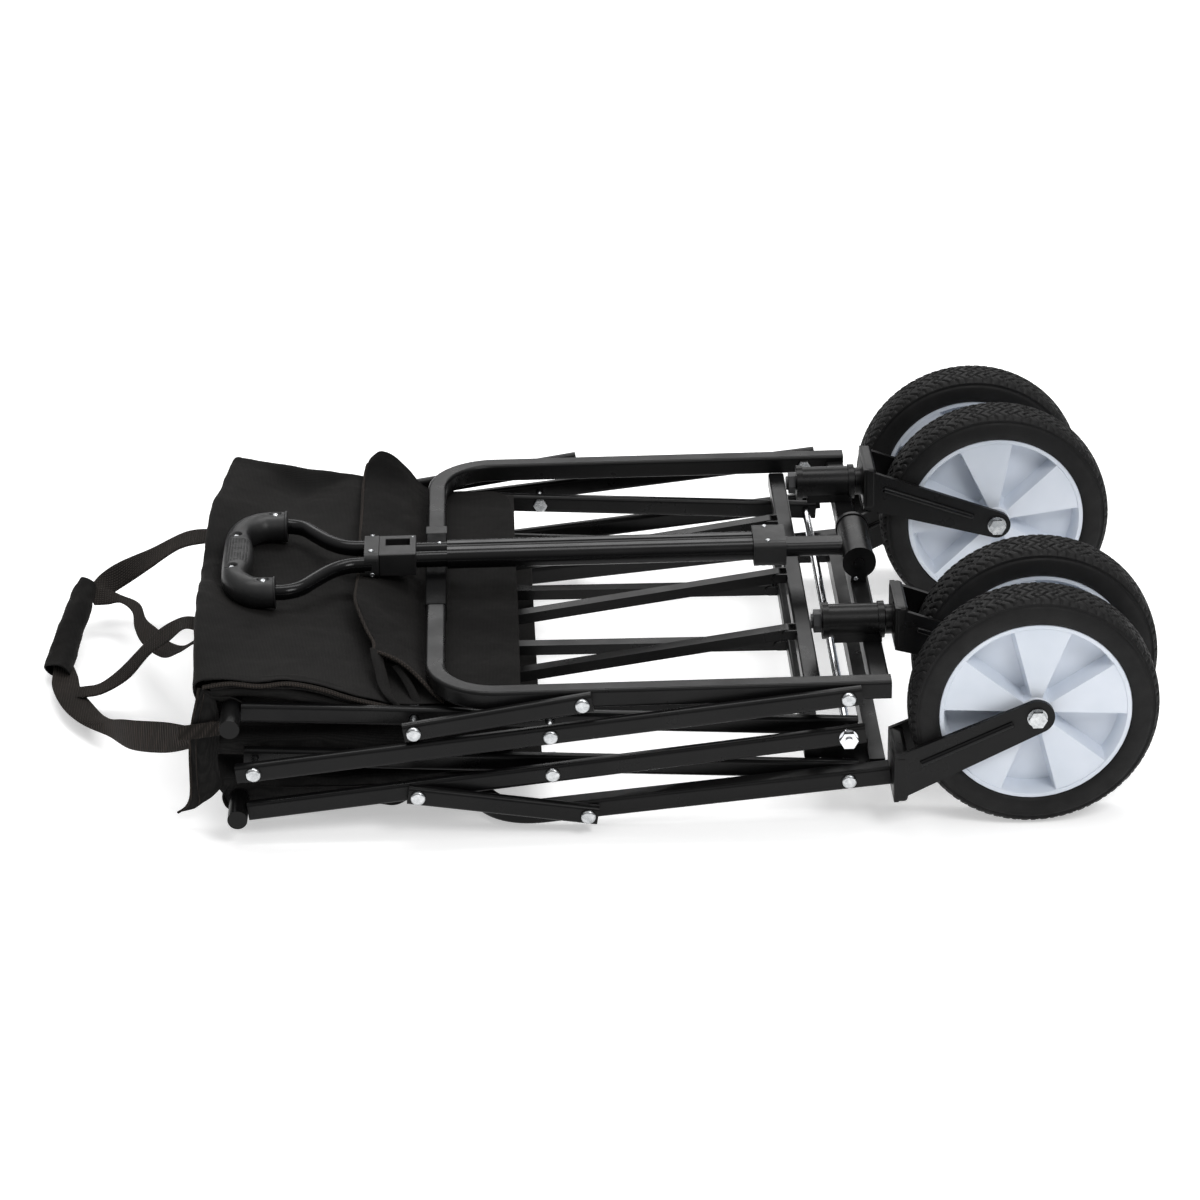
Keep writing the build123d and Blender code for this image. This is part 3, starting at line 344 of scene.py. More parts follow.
def catmull(points, t):
    """A point of the smooth curve through the given tuples, t from 0 to 1."""
    last = len(points) - 1
    place = clamp(t) * last
    index = min(int(place), last - 1)
    u = place - index
    p0 = points[max(index - 1, 0)]
    p1 = points[index]
    p2 = points[index + 1]
    p3 = points[min(index + 2, last)]
    return tuple(
        0.5 * (2 * b + (c - a) * u + (2 * a - 5 * b + 4 * c - d) * u * u + (3 * b - a - 3 * c + d) * u ** 3)
        for a, b, c, d in zip(p0, p1, p2, p3))


def curve(points, samples):
    return [Vector(catmull(points, i / samples)) for i in range(samples + 1)]


def grid_faces(rows, columns, wrap=False, close=False):
    """Quads of a grid stored row by row; wrap joins a row's ends, close joins the last row to the first."""
    faces = []
    for r in range(rows if close else rows - 1):
        e = (r + 1) % rows
        for c in range(columns if wrap else columns - 1):
            d = (c + 1) % columns
            faces.append((r * columns + c, r * columns + d, e * columns + d, e * columns + c))
    return faces


def surface(rows, across, along):
    """A dense grid through rows of control points, first between the rows, then along them."""
    dense = []
    for i in range(along + 1):
        line = [catmull([row[k] for row in rows], i / along) for k in range(len(rows[0]))]
        dense.append([catmull(line, j / across) for j in range(across + 1)])
    return dense


def level(y, *points):
    """A row of control points (x, z) that share their y."""
    return [(x, y, z) for x, z in points]


def mirrored(side, points):
    """Points of the far side, or their mirror image on the near side."""
    return [(x, side * y, z) for x, y, z in points]


def wrinkle(point, size, depth, seed, stretch=(1, 1, 1)):
    """Soft creases: ridged noise, in mm."""
    place = Vector(point) / size
    place = Vector((place.x * stretch[0] + seed, place.y * stretch[1], place.z * stretch[2]))
    value = noise.noise(place) + 0.5 * noise.noise(place * 2.1)
    return depth * (1 - 2.2 * abs(value))


def cloth(name, rows, across, along, body=None, thick=1.2, crease=(), finish=None):
    """A cloth sheet in the linkage's millimetres: a smooth grid, creased and given a thickness.

    Each row of crease is the size, depth, seed and stretch of one wrinkle."""
    flat = [Vector(p) for row in surface(rows, across, along) for p in row]
    faces = grid_faces(along + 1, across + 1)
    if crease:
        rough = bpy.data.meshes.new("rough")
        rough.from_pydata(flat, [], faces)
        normals = [v.normal.copy() for v in rough.vertices]
        bpy.data.meshes.remove(rough)
        for row in crease:
            flat = [p + n * wrinkle(p, *row) for p, n in zip(flat, normals)]
    obj = add_mesh(name, [at(*p) for p in flat], faces, "basket_fabric", body, finish)
    thicken(obj, thick)
    return obj


def tube_along(name, points, radius, slot, body=None, segments=10, samples=60, flat=1, finish=None):
    """A soft roll of cloth or a bent rod along a smooth curve."""
    line = curve(points, samples)
    verts = []
    side = None
    for i, p in enumerate(line):
        ahead = (line[min(i + 1, samples)] - line[max(i - 1, 0)]).normalized()
        if side is None:
            side = ahead.cross(Vector((0, 0, 1)))
            if side.length < 0.1:
                side = ahead.cross(Vector((1, 0, 0)))
        side = (side - ahead * side.dot(ahead)).normalized()
        top = side.cross(ahead)
        for c, s in around(segments):
            verts.append(at(*(p + side * c * radius + top * s * radius * flat)))
    faces = grid_faces(samples + 1, segments, wrap=True)
    faces.append(tuple(range(segments - 1, -1, -1)))
    faces.append(tuple(samples * segments + k for k in range(segments)))
    return add_mesh(name, verts, faces, slot, body, finish)


BAND_THICK = 1.5
BAND_SAMPLES = 80
BAND_COLUMNS = 7


def ribbon(name, stops, width):
    """Flat webbing through stops of a centre point and a direction across the band."""
    centres, directions = zip(*stops)
    line = curve(centres, BAND_SAMPLES)
    verts = []
    for centre, across in zip(line, curve(directions, BAND_SAMPLES)):
        across.normalize()
        for k in range(BAND_COLUMNS):
            verts.append(at(*(centre + across * width * (k / (BAND_COLUMNS - 1) - 0.5))))
    obj = add_mesh(name, verts, grid_faces(BAND_SAMPLES + 1, BAND_COLUMNS), "webbing", REAR)
    thicken(obj, BAND_THICK, soften=False)
    round_edges(obj, 0.4, 1, harden=False)
    return obj


def dress_frame():
    """Every CAD node takes its slot's material, smooth shading and a small edge radius."""
    slots = {row["node"]: row["material_slot"] for row in frame["record"]["subparts"]}
    for name, obj in NODES.items():
        obj.data.materials.clear()
        obj.data.materials.append(MATERIALS[slots[name]])
        for polygon in obj.data.polygons:
            polygon.use_smooth = True
        round_edges(obj, 1.2 if "fork" in name or "bars" in name else 0.6, 2, 40)


# ---------------- wheels
TYRE_RADIUS = 100.0
TYRE_HALF = 20.0
TREAD_HALF = 15.5
TREAD_PITCH = tau / 80     # the angle from one zigzag groove to the next
TREAD_DEPTH = 1.6
TYRE_AROUND = 704          # 8.8 steps to each groove
CROWN_STEPS = 36
HUB_RADIUS = 77.0
HUB_HALF = 18.5
HUB_SECTORS = 5
POCKET_DEPTH = 17.0
POCKET_WALL = 3.2
BOSS_RADIUS = 12.5
WHEEL_TURNS = {"rear_near": 4, "rear_far": 31, "front_near": 52, "front_far": -7.0}    # degrees


def tread(y, turn):
    """Depth of the tread at a place across and around the tyre, in mm: zigzag grooves and staggered cuts."""
    lane = (y / TREAD_HALF + 1) * 2.5
    zigzag = abs(lane % 2 - 1) * 0.9
    line = (turn / TREAD_PITCH + zigzag) % 1.0
    groove = abs(line - 0.5) * TYRE_RADIUS * TREAD_PITCH
    other = (turn / TREAD_PITCH * 0.5 - zigzag * 0.5 + 0.25) % 1.0
    cut = abs(other - 0.5) * 2 * TYRE_RADIUS * TREAD_PITCH
    return TREAD_DEPTH * max(clamp((1.5 - groove) / 0.9), 0.6 * clamp((1.1 - cut) / 0.7))


def tyre_mesh():
    """A tyre about Y: treaded crown, notched shoulders, smooth sidewalls with one ring groove."""
    side = [(TYRE_RADIUS - inset, y) for inset, y in (
        (3.6, 17.2), (4.6, 18.4), (5.2, 18.6), (5.8, 18.1), (7.2, 18.3), (7.8, 19.1), (9.5, 19.7),
        (14, TYRE_HALF))]
    side += [(HUB_RADIUS + out, y) for out, y in ((6, TYRE_HALF), (2.5, 19.6), (0.6, 18.6), (-0.6, 17))]
    crown = [-TREAD_HALF + 2 * TREAD_HALF * k / CROWN_STEPS for k in range(CROWN_STEPS + 1)]
    profile = [(r, -y, False) for r, y in reversed(side)]
    profile += [(TYRE_RADIUS - 0.3 - 1.6 * (abs(y) / TREAD_HALF) ** 3, y, True) for y in crown]
    profile += [(r, y, False) for r, y in side]
    verts = []
    for i in range(TYRE_AROUND):
        turn = tau * i / TYRE_AROUND
        for r, y, treaded in profile:
            depth = tread(y, turn) if treaded else 0.0
            if not treaded and abs(y) < 18.0 and r > TYRE_RADIUS - 6:
                depth = 0.8 * tread(copysign(TREAD_HALF, y), turn)
            verts.append(((r - depth) * cos(turn) * MM, y * MM, (r - depth) * sin(turn) * MM))
    faces = grid_faces(TYRE_AROUND, len(profile), wrap=True, close=True)
    return new_mesh("tyre_visual", verts, faces, "tyre_rubber", sharp=34)


def hub_angles(r, shift):
    """Angles of the hub's grid at radius r, with the share of the pocket's depth at each."""
    out = []
    half = pi / HUB_SECTORS
    slope = min(POCKET_WALL / r, half * 0.4)
    falls = ((0.12, 0.06), (0.5, 0.5), (0.88, 0.94))
    for s in range(HUB_SECTORS):
        start = tau * s / HUB_SECTORS + radians(1) + shift
        out += [(start + half * k / 5, 0) for k in range(6)]
        out += [(start + half + slope * f, share) for f, share in falls]
        out += [(start + half + slope + (half - 2 * slope) * k / 5, 1) for k in range(6)]
        out += [(start + 2 * half - slope + slope * f, falls[2 - n][1]) for n, (f, _) in enumerate(falls)]
    return out


def hub_mesh():
    """A hub about Y: five raised sectors and five deep pockets on either face, back to back."""
    rim = HUB_RADIUS - 4.5
    foot = BOSS_RADIUS + POCKET_WALL + 1
    radii = [6, BOSS_RADIUS - 1, BOSS_RADIUS, BOSS_RADIUS + 1.2, foot, 22, 32, 44, 56, 66,
             rim - POCKET_WALL, rim - POCKET_WALL * 0.5, rim, rim + 0.6, HUB_RADIUS - 0.9, HUB_RADIUS + 0.4]
    verts = []

    def face(sign):
        """One face's vertices and quads; the far face lags by half a sector."""
        base = len(verts)
        for r in radii:
            open_share = 1.0
            if r <= BOSS_RADIUS or r >= rim:
                open_share = 0.0
            elif r < foot or r > rim - POCKET_WALL * 0.75:
                open_share = 0.5
            lip = 0.8 if r < BOSS_RADIUS else -1.0 if r > HUB_RADIUS else 0.9 if r >= rim + 0.5 else 0.0
            ring = hub_angles(max(r, BOSS_RADIUS), pi / HUB_SECTORS if sign > 0 else 0)
            for turn, share in ring:
                y = HUB_HALF - 2.0 + lip - POCKET_DEPTH * share * open_share
                verts.append((r * cos(turn) * MM, sign * y * MM, r * sin(turn) * MM))
        quads = grid_faces(len(radii), len(ring), wrap=True)
        return [tuple(base + i for i in (f if sign < 0 else f[::-1])) for f in quads], base, len(ring)

    near, first, count = face(-1)
    far, second, count = face(1)
    faces = near + far
    lag = count // (2 * HUB_SECTORS)
    outer = (len(radii) - 1) * count
    for k in range(count):
        m = (k + 1) % count
        k2, m2 = (k - lag) % count, (m - lag) % count
        faces.append((first + k, second + k2, second + m2, first + m))
        faces.append((first + outer + m, second + outer + m2, second + outer + k2, first + outer + k))
    return new_mesh("hub_visual", verts, faces, "hub_plastic", sharp=24)


def wheels():
    moulds = (("tyre", tyre_mesh(), "tyre_rubber"), ("hub", hub_mesh(), "hub_plastic"))
    for end in ("rear", "front"):
        for _, side in SIDES:
            low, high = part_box(f"{end}_tyre_{side}")
            for kind, mesh, slot in moulds:
                turned = mesh.copy()
                turned.transform(Matrix.Rotation(radians(WHEEL_TURNS[f"{end}_{side}"]), 4, "Y"))
                obj = new_object(f"{end}_{side}_{kind}_moulded", turned)
                obj.location = (low + high) / 2
                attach(obj, f"{end}_wheel_{side}")
                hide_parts(f"{end}_{kind}_{side}")


# ---------------- basket
WALL_X = (-464, -441, -416, -394, -373, -352, -330, -290, -258)
WALL_FLAT = (102, 101, 101)        # the heights at the last three
POCKET_FLAT = ((-336, 108.5), (-318, 107.5), (-290, 107))


def stretch(obj, low):
    """Bakes a side's piece's placement into its mesh."""
    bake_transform(obj)


def hemmed(y, end, reach, *heights):
    """A row of the pocket: its heights round the hem, whose lip stands out by reach, then flat to its end."""
    places = (-372, -381, -389 - reach, -384 - reach, -374, -362, -350)
    return level(y, *zip(places, heights), *POCKET_FLAT, (end, 106.5))


def draped(y, edge, *heights):
    """A row of the front wall: its points (x, z) round the rim tube, then its heights at WALL_X."""
    return level(y, *edge, *zip(WALL_X, heights + WALL_FLAT))


# the front wall, from near to far: round its rim tube, over it with a dip under the pull handle, then flat
WALL_ROWS = [
    [(-484, -199, 95), (-499, -200, 94), (-510, -202, 108), (-514, -204, 123), (-508, -203, 128),
     (-488, -203, 127.5), (-464, -203, 124.5), (-441, -203, 126), (-416, -203, 120.5),
     (-394, -203, 112), (-373, -202, 105.5), (-359, -201, 101), (-330, -201, 100), (-290, -201, 100),
     (-258, -201, 100)],
    draped(-150, ((-484, 94), (-501, 93), (-513, 112), (-517, 134), (-510, 137), (-488, 131)),
           126, 125, 120, 114, 109, 105),
    draped(-90, ((-484, 93), (-502, 92), (-515, 114), (-518.5, 137), (-511, 140), (-489, 131)),
           125, 122, 117, 113, 108, 104),
    draped(-42, ((-484, 93), (-502, 92), (-516, 114), (-519.5, 135), (-512, 137), (-493, 128)),
           122, 120, 116, 112, 108, 104),
    *(draped(y, ((-484, 93), (-502, 92), (-517.5, 112), (-520, 127), (-512, 129.5), (-496, 123)),
             120, 119, 116, 112, 108, 104) for y in (-18, 18)),
    draped(42, ((-484, 93), (-502, 92), (-516.5, 114), (-519.5, 136), (-512, 138), (-492, 129)),
           122, 120, 117, 113, 108, 104),
    draped(90, ((-484, 93), (-501, 92), (-513.5, 116), (-516.5, 143), (-509, 145), (-486, 134)),
           125, 121, 118, 114, 109, 105),
    level(150, (-484, 93), (-498, 92), (-505.5, 114), (-508.5, 141), (-502, 143), (-482, 135),
          (-462, 125), (-440, 120), (-416, 121), (-396, 118), (-373, 111), (-352, 105), (-330, 102),
          (-290, 101), (-258, 101)),
    [(-484, 182, 94), (-496, 182, 93), (-502, 182, 114), (-504.5, 186, 141), (-498, 187, 143),
     (-477, 186, 137), (-460, 184, 127), (-442, 180, 119), (-418, 184, 121), (-400, 188, 124),
     (-375, 186, 114), (-352, 184, 106), (-330, 184, 102), (-290, 184, 101), (-258, 184, 101)],
    [(-484, 199, 95), (-494, 199, 94), (-498, 199, 112), (-501, 200, 141), (-495, 200, 143),
     (-476, 199, 139.5), (-458, 198, 136), (-440, 197, 132.5), (-418, 197, 129.5), (-398, 198, 126.5),
     (-376, 198, 119), (-352, 196, 106), (-330, 196, 102), (-290, 196, 101), (-258, 196, 101)],
    [(-484, 201, 97), (-492, 202, 97), (-494, 203, 108), (-496, 204, 128), (-492, 204, 133),
     (-476, 204, 130), (-458, 204, 127), (-440, 204, 123), (-418, 204, 120), (-398, 203, 116),
     (-376, 202, 110), (-352, 200, 101), (-330, 199, 98), (-290, 198, 98), (-258, 198, 98)],
]
# the pocket, from far to near: its open hem, the swell behind it, then flat under the bent tube
POCKET_ROWS = [
    [(-366, 203, 118), (-376, 204, 122), (-384, 204, 136), (-380, 205, 144), (-373, 205.5, 146.5),
     (-362, 205, 141), (-350, 205, 129), (-336, 204, 112), (-318, 203, 107.5), (-296, 201, 107),
     (-276, 198, 106.5)],
    [(-368, 198, 119), (-378, 198, 123), (-386, 198, 136), (-382, 199, 142), (-374, 199, 143),
     (-362, 199, 137), (-350, 198, 126), (-336, 198, 110), (-318, 198, 107.5), (-294, 196, 107),
     (-268, 193, 106.5)],
    level(176, (-372, 113), (-381, 119), (-389, 128), (-384, 131), (-374, 130), (-362, 126),
        (-350, 120), (-336, 109), (-318, 107.5), (-290, 107), (-261, 106.5)),
    hemmed(120, -259, 0, 113, 119, 128, 130, 128, 124, 119),
    hemmed(60, -258, 0, 113, 119, 130, 131, 128, 124, 119),
    hemmed(10, -257.5, 0, 112, 117, 126, 127, 126, 123, 118),
    hemmed(-38, -257, 1, 114, 120, 131, 133, 130, 124, 118),
    hemmed(-75, -257, 1, 115, 122, 134, 135, 131, 124, 117),
    [(-362, -116, 115), (-372, -116, 122), (-381, -118, 131), (-376, -118, 132), (-366, -118, 129),
     (-356, -118, 123), (-347, -118, 117), (-335, -118, 108.5), (-318, -118, 107.5), (-290, -118, 107),
     (-257, -118, 106.5)],
    [(-358, -138, 114), (-367, -140, 121), (-374, -142, 128.5), (-370, -143, 129.5),
     (-362, -145, 127.5), (-353, -146, 122.5), (-345, -148, 117), (-334, -152, 109),
     (-318, -155, 107.5), (-290, -158, 107), (-257, -158, 106.5)],
    [(-358, -150, 117), (-366, -154, 121.5), (-374, -158, 128.5), (-369.5, -161, 129.5),
     (-362, -165, 128.5), (-354, -170.5, 126.5), (-345, -178.5, 123), (-334.5, -189.5, 116.5),
     (-319, -199, 107.5), (-292, -200, 106), (-257.5, -200, 105.5)],
    [(-357, -151, 113), (-364, -155, 117), (-371, -159.5, 124.5), (-367, -162.5, 125.5),
     (-360, -167, 124.5), (-352.5, -173, 122.5), (-344, -181, 119), (-333.5, -192, 112.5),
     (-319.5, -202, 104.5), (-293, -202, 103.5), (-258, -202, 103.5)],
]


def front_wall():
    """The front wall, with its bound and doubled near edge."""
    wall = cloth("front_wall_cloth", WALL_ROWS, 110, 190, FRONT, thick=1.4, crease=(
        (110, 1.8, 2, (0.6, 1.3, 1)), (38, 0.8, 9, (1, 0.55, 1)), (15, 0.25, 4)))
    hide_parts("basket_front_wall")
    binding = tube_along("front_wall_binding", [
        *level(-204.5, (-509, 124.5), (-488, 127), (-464, 124), (-441, 125.5), (-416, 120), (-394, 111.5),
               (-373, 105)), (-358, -203.5, 100.5)], 2.9, "webbing", FRONT, flat=0.5)
    band = cloth("front_wall_near_band", [
        [(-509, -202.6, 129), (-488, -201.8, 129.6), (-464, -201.6, 126.4), (-441, -201.6, 128),
         (-416, -201.6, 122.6), (-394, -201.6, 113.8), (-373, -201.2, 107.4), (-360, -200.4, 102.6)],
        [(-507, -196, 131.6), (-487, -195, 131.2), (-464, -194.6, 127.8), (-441, -194.6, 128.8),
         (-416, -194.6, 123.6), (-394, -194.6, 115.2), (-374, -194.4, 108.8), (-361, -194, 104.2)],
    ], 40, 4, FRONT, thick=0.9)


def pocket():
    """The pocket layer, which gapes at its near end, with its bindings and folds."""
    # the darker cloth paints the shade on the pocket
    layer = cloth("pocket_cloth", POCKET_ROWS, 90, 170, FRONT, thick=1.4, finish="fabric_painted_shade",
        crease=((80, 1.1, 5), (26, 0.5, 3, (1, 0.6, 1)), (12, 0.2, 7)))
    hem = tube_along("pocket_hem", [
        (-384, 204.5, 135), (-386.5, 198, 135.5), (-389.5, 176, 127.5), (-389.5, 120, 128), (-389.5, 60, 130),
        (-389.5, 10, 126), (-390.5, -38, 131), (-390.5, -75, 134), (-381.5, -118, 131), (-374.5, -142, 128.5),
        (-374.5, -158, 128.7)], 1.5, "webbing", FRONT, samples=110)
    arch = tube_along("pocket_arch_binding", [
        (-374, -157, 128), (-369.5, -161.5, 129.3), (-362, -166, 128.3), (-354, -171.5, 126.3),
        (-345, -179.5, 122.8), (-334.5, -190.5, 116.3), (-327, -198.5, 110.5), (-318, -204.2, 104.5)],
        1.8, "webbing", FRONT, flat=0.8)
    pleat = cloth("pocket_near_pleat", [
        [(-377, -154, 130), (-376, -165, 127), (-373.5, -176, 121.5), (-370.5, -190, 114),
         (-364.5, -201, 109), (-357, -204.5, 102.5)],
        [(-372, -158, 130.5), (-371, -167, 127), (-368.5, -178, 121.5), (-365.5, -191, 114),
         (-360, -202, 108.6), (-354, -204.8, 102.5)],
        [(-367, -160, 126), (-366, -168, 121), (-363.5, -179, 116), (-360.5, -192, 109), (-356, -202, 104),
         (-351, -204.4, 100.5)],
    ], 36, 8, FRONT, crease=((18, 0.5, 1),))
    inner = cloth("pocket_inner_fold", [
        [(-360, -166, 119), (-354, -176, 115), (-348, -188, 109), (-343, -199, 101)],
        [(-355, -168, 121), (-349, -178, 117), (-343, -189, 111), (-338, -200, 102)],
        [(-350, -168, 116), (-344, -180, 111), (-339, -191, 105), (-334, -200, 99)],
    ], 20, 8, FRONT, thick=1)


NEAR_HEM = ((-505, 124), (-488, 126), (-464, 122.5), (-441, 124), (-416, 118.5), (-394, 110), (-373, 104),
            (-359, 99.5), (-330, 98), (-290, 98), (-262, 98))    # the near side's top, as (x, z)
NEAR_ROLL = ((-505, 119), (-480, 121), (-453.5, 118.8), (-425.6, 112.6), (-394.7, 103.7), (-363.5, 97.3),
             (-316.5, 95.8), (-290, 95.3), (-262, 95))           # the roll just under it
FAR_DROP = 14              # the far side's top lies this much lower
LIP_DROP = 22.0            # how far the cloth hangs below the outer bar's end


def height(line, x):
    """The height at x of a line of (x, z) points."""
    for (x0, z0), (x1, z1) in zip(line, line[1:]):
        if x <= x1:
            return z0 + (z1 - z0) * max(0, (x - x0) / (x1 - x0))
    return line[-1][1]


def side_cloth(name, side, flare):
    """A side wall of the basket, gathered into pleats between the two walls."""
    lower = 0 if side < 0 else FAR_DROP
    rows = []
    for x in (-503, -492, -478, -464, -450, -434, -416, -396, -376, -356, -330, -296, -264):
        z1 = height(NEAR_HEM, x) - lower
        z3 = height(NEAR_ROLL, x) - lower
        gape = 9.0 * max(0, 1 - abs(x + 420) / 85)
        tuck = flare * sin((x + 500) / 37)
        drop = LIP_DROP * clamp((x + 501) / 8) * clamp((-326 - x) / 30)
        pleat = 71 - (x + 486) * 0.09 if x < -400 else 63
        rows.append([(x, side * y, z) for y, z in (
            (199, z1 - 0.5), (203.4, z1 - 1.5), (201 - gape * 0.4, z1 - 4), (197 - gape, (z1 + z3) / 2 - 1),
            (201 - gape * 0.3, z3 + 1.5), (204, z3), (202, z3 - 5), (192, z3 - 12), (186 + tuck, 84),
            (197 + tuck, 76), (201.5, pleat), (196, 62 - tuck * 0.4), (184 - tuck, 57),
            (180, 50 + tuck * 0.4), (192 + tuck * 0.5, 44), (200.5, 40), (201, 40 - drop * 0.45),
            (200, 37 - drop * 0.9), (198.5, 34 - drop))])
    obj = cloth(name, rows, 72, 96, thick=1.3,
                crease=((46, 1.4, 3.0 + side, (0.5, 1, 1.4)), (17, 0.5, 6.0 - side, (0.6, 1, 1.3))))
    stretch(obj, 42)
    return obj


FLAP_ROWS = (              # a row's two ends as (x, z), its bulge, and the y of the edge at its first end
    ((-512, 124), (-500, 120), 0.5, 205), ((-514.5, 112), (-499, 110), 1.5, 205.4),
    ((-518, 98), (-497, 98), 2, 205.6), ((-521, 82), (-497, 84), 2.6, 205.8),
    ((-522.5, 64), (-498.5, 70), 3, 206), ((-523, 46), (-500, 56), 3, 206),
    ((-523.5, 33), (-499, 44), 2, 205.6), ((-525, 24), (-499, 35), 1.2, 205.3),
    ((-529, 17), (-507, 25), 0.6, 205), ((-535.5, 12.5), (-522, 15), 0.2, 204.8))


def flap(name, side):
    """The loop that a side wall makes beyond the folded rims, with its sewn edge and seam."""
    rows = [[(x0 + (x1 - x0) * u, side * (204.5 + bulge * sin(pi * u)), z0 + (z1 - z0) * u)
             for u in (0, 0.14, 0.34, 0.6, 0.84, 1)] for (x0, z0), (x1, z1), bulge, _ in FLAP_ROWS]
    piece = cloth(name, rows, 30, 80, thick=1.3, crease=((50, 1.6, 8, (1, 1, 0.7)), (16, 0.5, 2)))
    edge = tube_along(f"{name}_edge", mirrored(side, [(x, y, z) for (x, z), *_, y in FLAP_ROWS]), 1.1,
                      "webbing", samples=70)
    seam = tube_along(f"{name}_seam", mirrored(side, [
        (-507.5, 206.6, 121), (-510, 207.2, 110), (-513.2, 207.6, 97), (-516, 208.2, 82),
        (-517.4, 208.4, 64), (-517.8, 208.4, 46), (-517.6, 207.6, 34), (-517, 206.8, 25),
        (-518.5, 206.2, 20)]), 0.45, "webbing", samples=70, segments=6)
    for obj in (piece, edge, seam):
        stretch(obj, 30)


def sides():
    """Both side walls, the near one's rolled lip, and the flap at each side."""
    near = side_cloth("side_near_folds", -1, 4)
    lip = cloth("side_near_lip", [
        [(-509.5, -205, 124), (-507, -206, 120.5), (-502, -206.4, 117.2), (-494, -206.2, 116.2),
         (-486.5, -205.6, 115.4), (-477.5, -204.8, 110), (-467, -203.8, 102.5)],
        [(-508, -202.4, 122), (-505, -203, 117.5), (-500.5, -203.4, 114.2), (-493, -203.4, 112.8),
         (-486, -203, 111.6), (-478.5, -202, 106), (-469, -201, 99)],
        [(-506, -199, 119), (-503, -199, 113.5), (-499, -199.4, 110.4), (-492, -199.4, 108.8),
         (-486, -199, 107), (-480, -199, 102), (-472, -198, 95)],
    ], 50, 10, FRONT, thick=1.3)
    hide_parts("basket_side_near")
    far = side_cloth("side_far_folds", 1, -3)
    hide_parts("basket_side_far")
    for side, where in SIDES:
        flap(f"flap_{where}", side)


def rear_wall():
    """The rear wall under the folded basket, round its rim tube."""
    rows = []
    for y, sag in ((-203, 0), (-150, 1.5), (-60, 3), (40, 3.5), (130, 2.5), (203, 0.5)):
        right = -241 - 3 * (y + 203) / 406
        rows.append(level(
            y, (-478, 14.2), (-487, 12.6), (-494.5, 15.4), (-497, 23.5), (-494, 31.6), (-485, 34.4),
            (-470, 32 - sag), (-440, 30.5 - sag), (-400, 30.5 - sag), (-350, 31.5 - sag),
            (-300, 33.5 - sag * 0.6), (-262, 35.5), (right, 36)))
    rear = cloth("rear_wall_cloth", rows, 90, 90, REAR, thick=1.4,
                 crease=((100, 1.2, 4, (0.6, 1.2, 1)), (34, 0.7, 1, (1, 0.6, 1))))
    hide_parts("basket_rear_wall")


def floor_cloth():
    """The basket's floor, folded over and over between the walls."""
    rows = []
    for y, lean in ((-146, 0), (-90, 2), (-20, -1.5), (60, 1), (146, -1)):
        rows.append(level(
            y, (-415, 37), (-448, 39), (-459 + lean, 43), (-459 + lean, 48), (-446, 51), (-420, 53),
            (-415, 58), (-420, 63), (-447, 65), (-460 - lean, 69), (-459 - lean, 74), (-446, 77), (-421, 79),
            (-416, 83), (-421, 87), (-447, 88.5), (-458, 91)))
    floor = cloth("floor_cloth", rows, 90, 60, REAR, thick=1.4,
                  crease=((44, 1, 7, (1, 0.6, 1)),))


# ---------------- carry strap
PAD_STOPS = (              # as a ribbon's stops, with the pad's width
    ((-637.5, 178, 36.5), (-0.75, 0.62, -0.1), 15), ((-640.5, 162, 34.5), (-0.72, 0.66, -0.12), 20),
    ((-643.5, 142, 31), (-0.68, 0.7, -0.14), 24), ((-649, 108, 23), (-0.66, 0.72, -0.16), 26),
    ((-653, 80, 17), (-0.66, 0.72, -0.2), 28), ((-656, 56, 13), (-0.64, 0.72, -0.27), 30))
PAD_SAMPLES = 70
PAD_SEGMENTS = 40
PAD_HALF_THICK = 6.0
PAD_LOWEST = 1.2           # it lies on the floor here


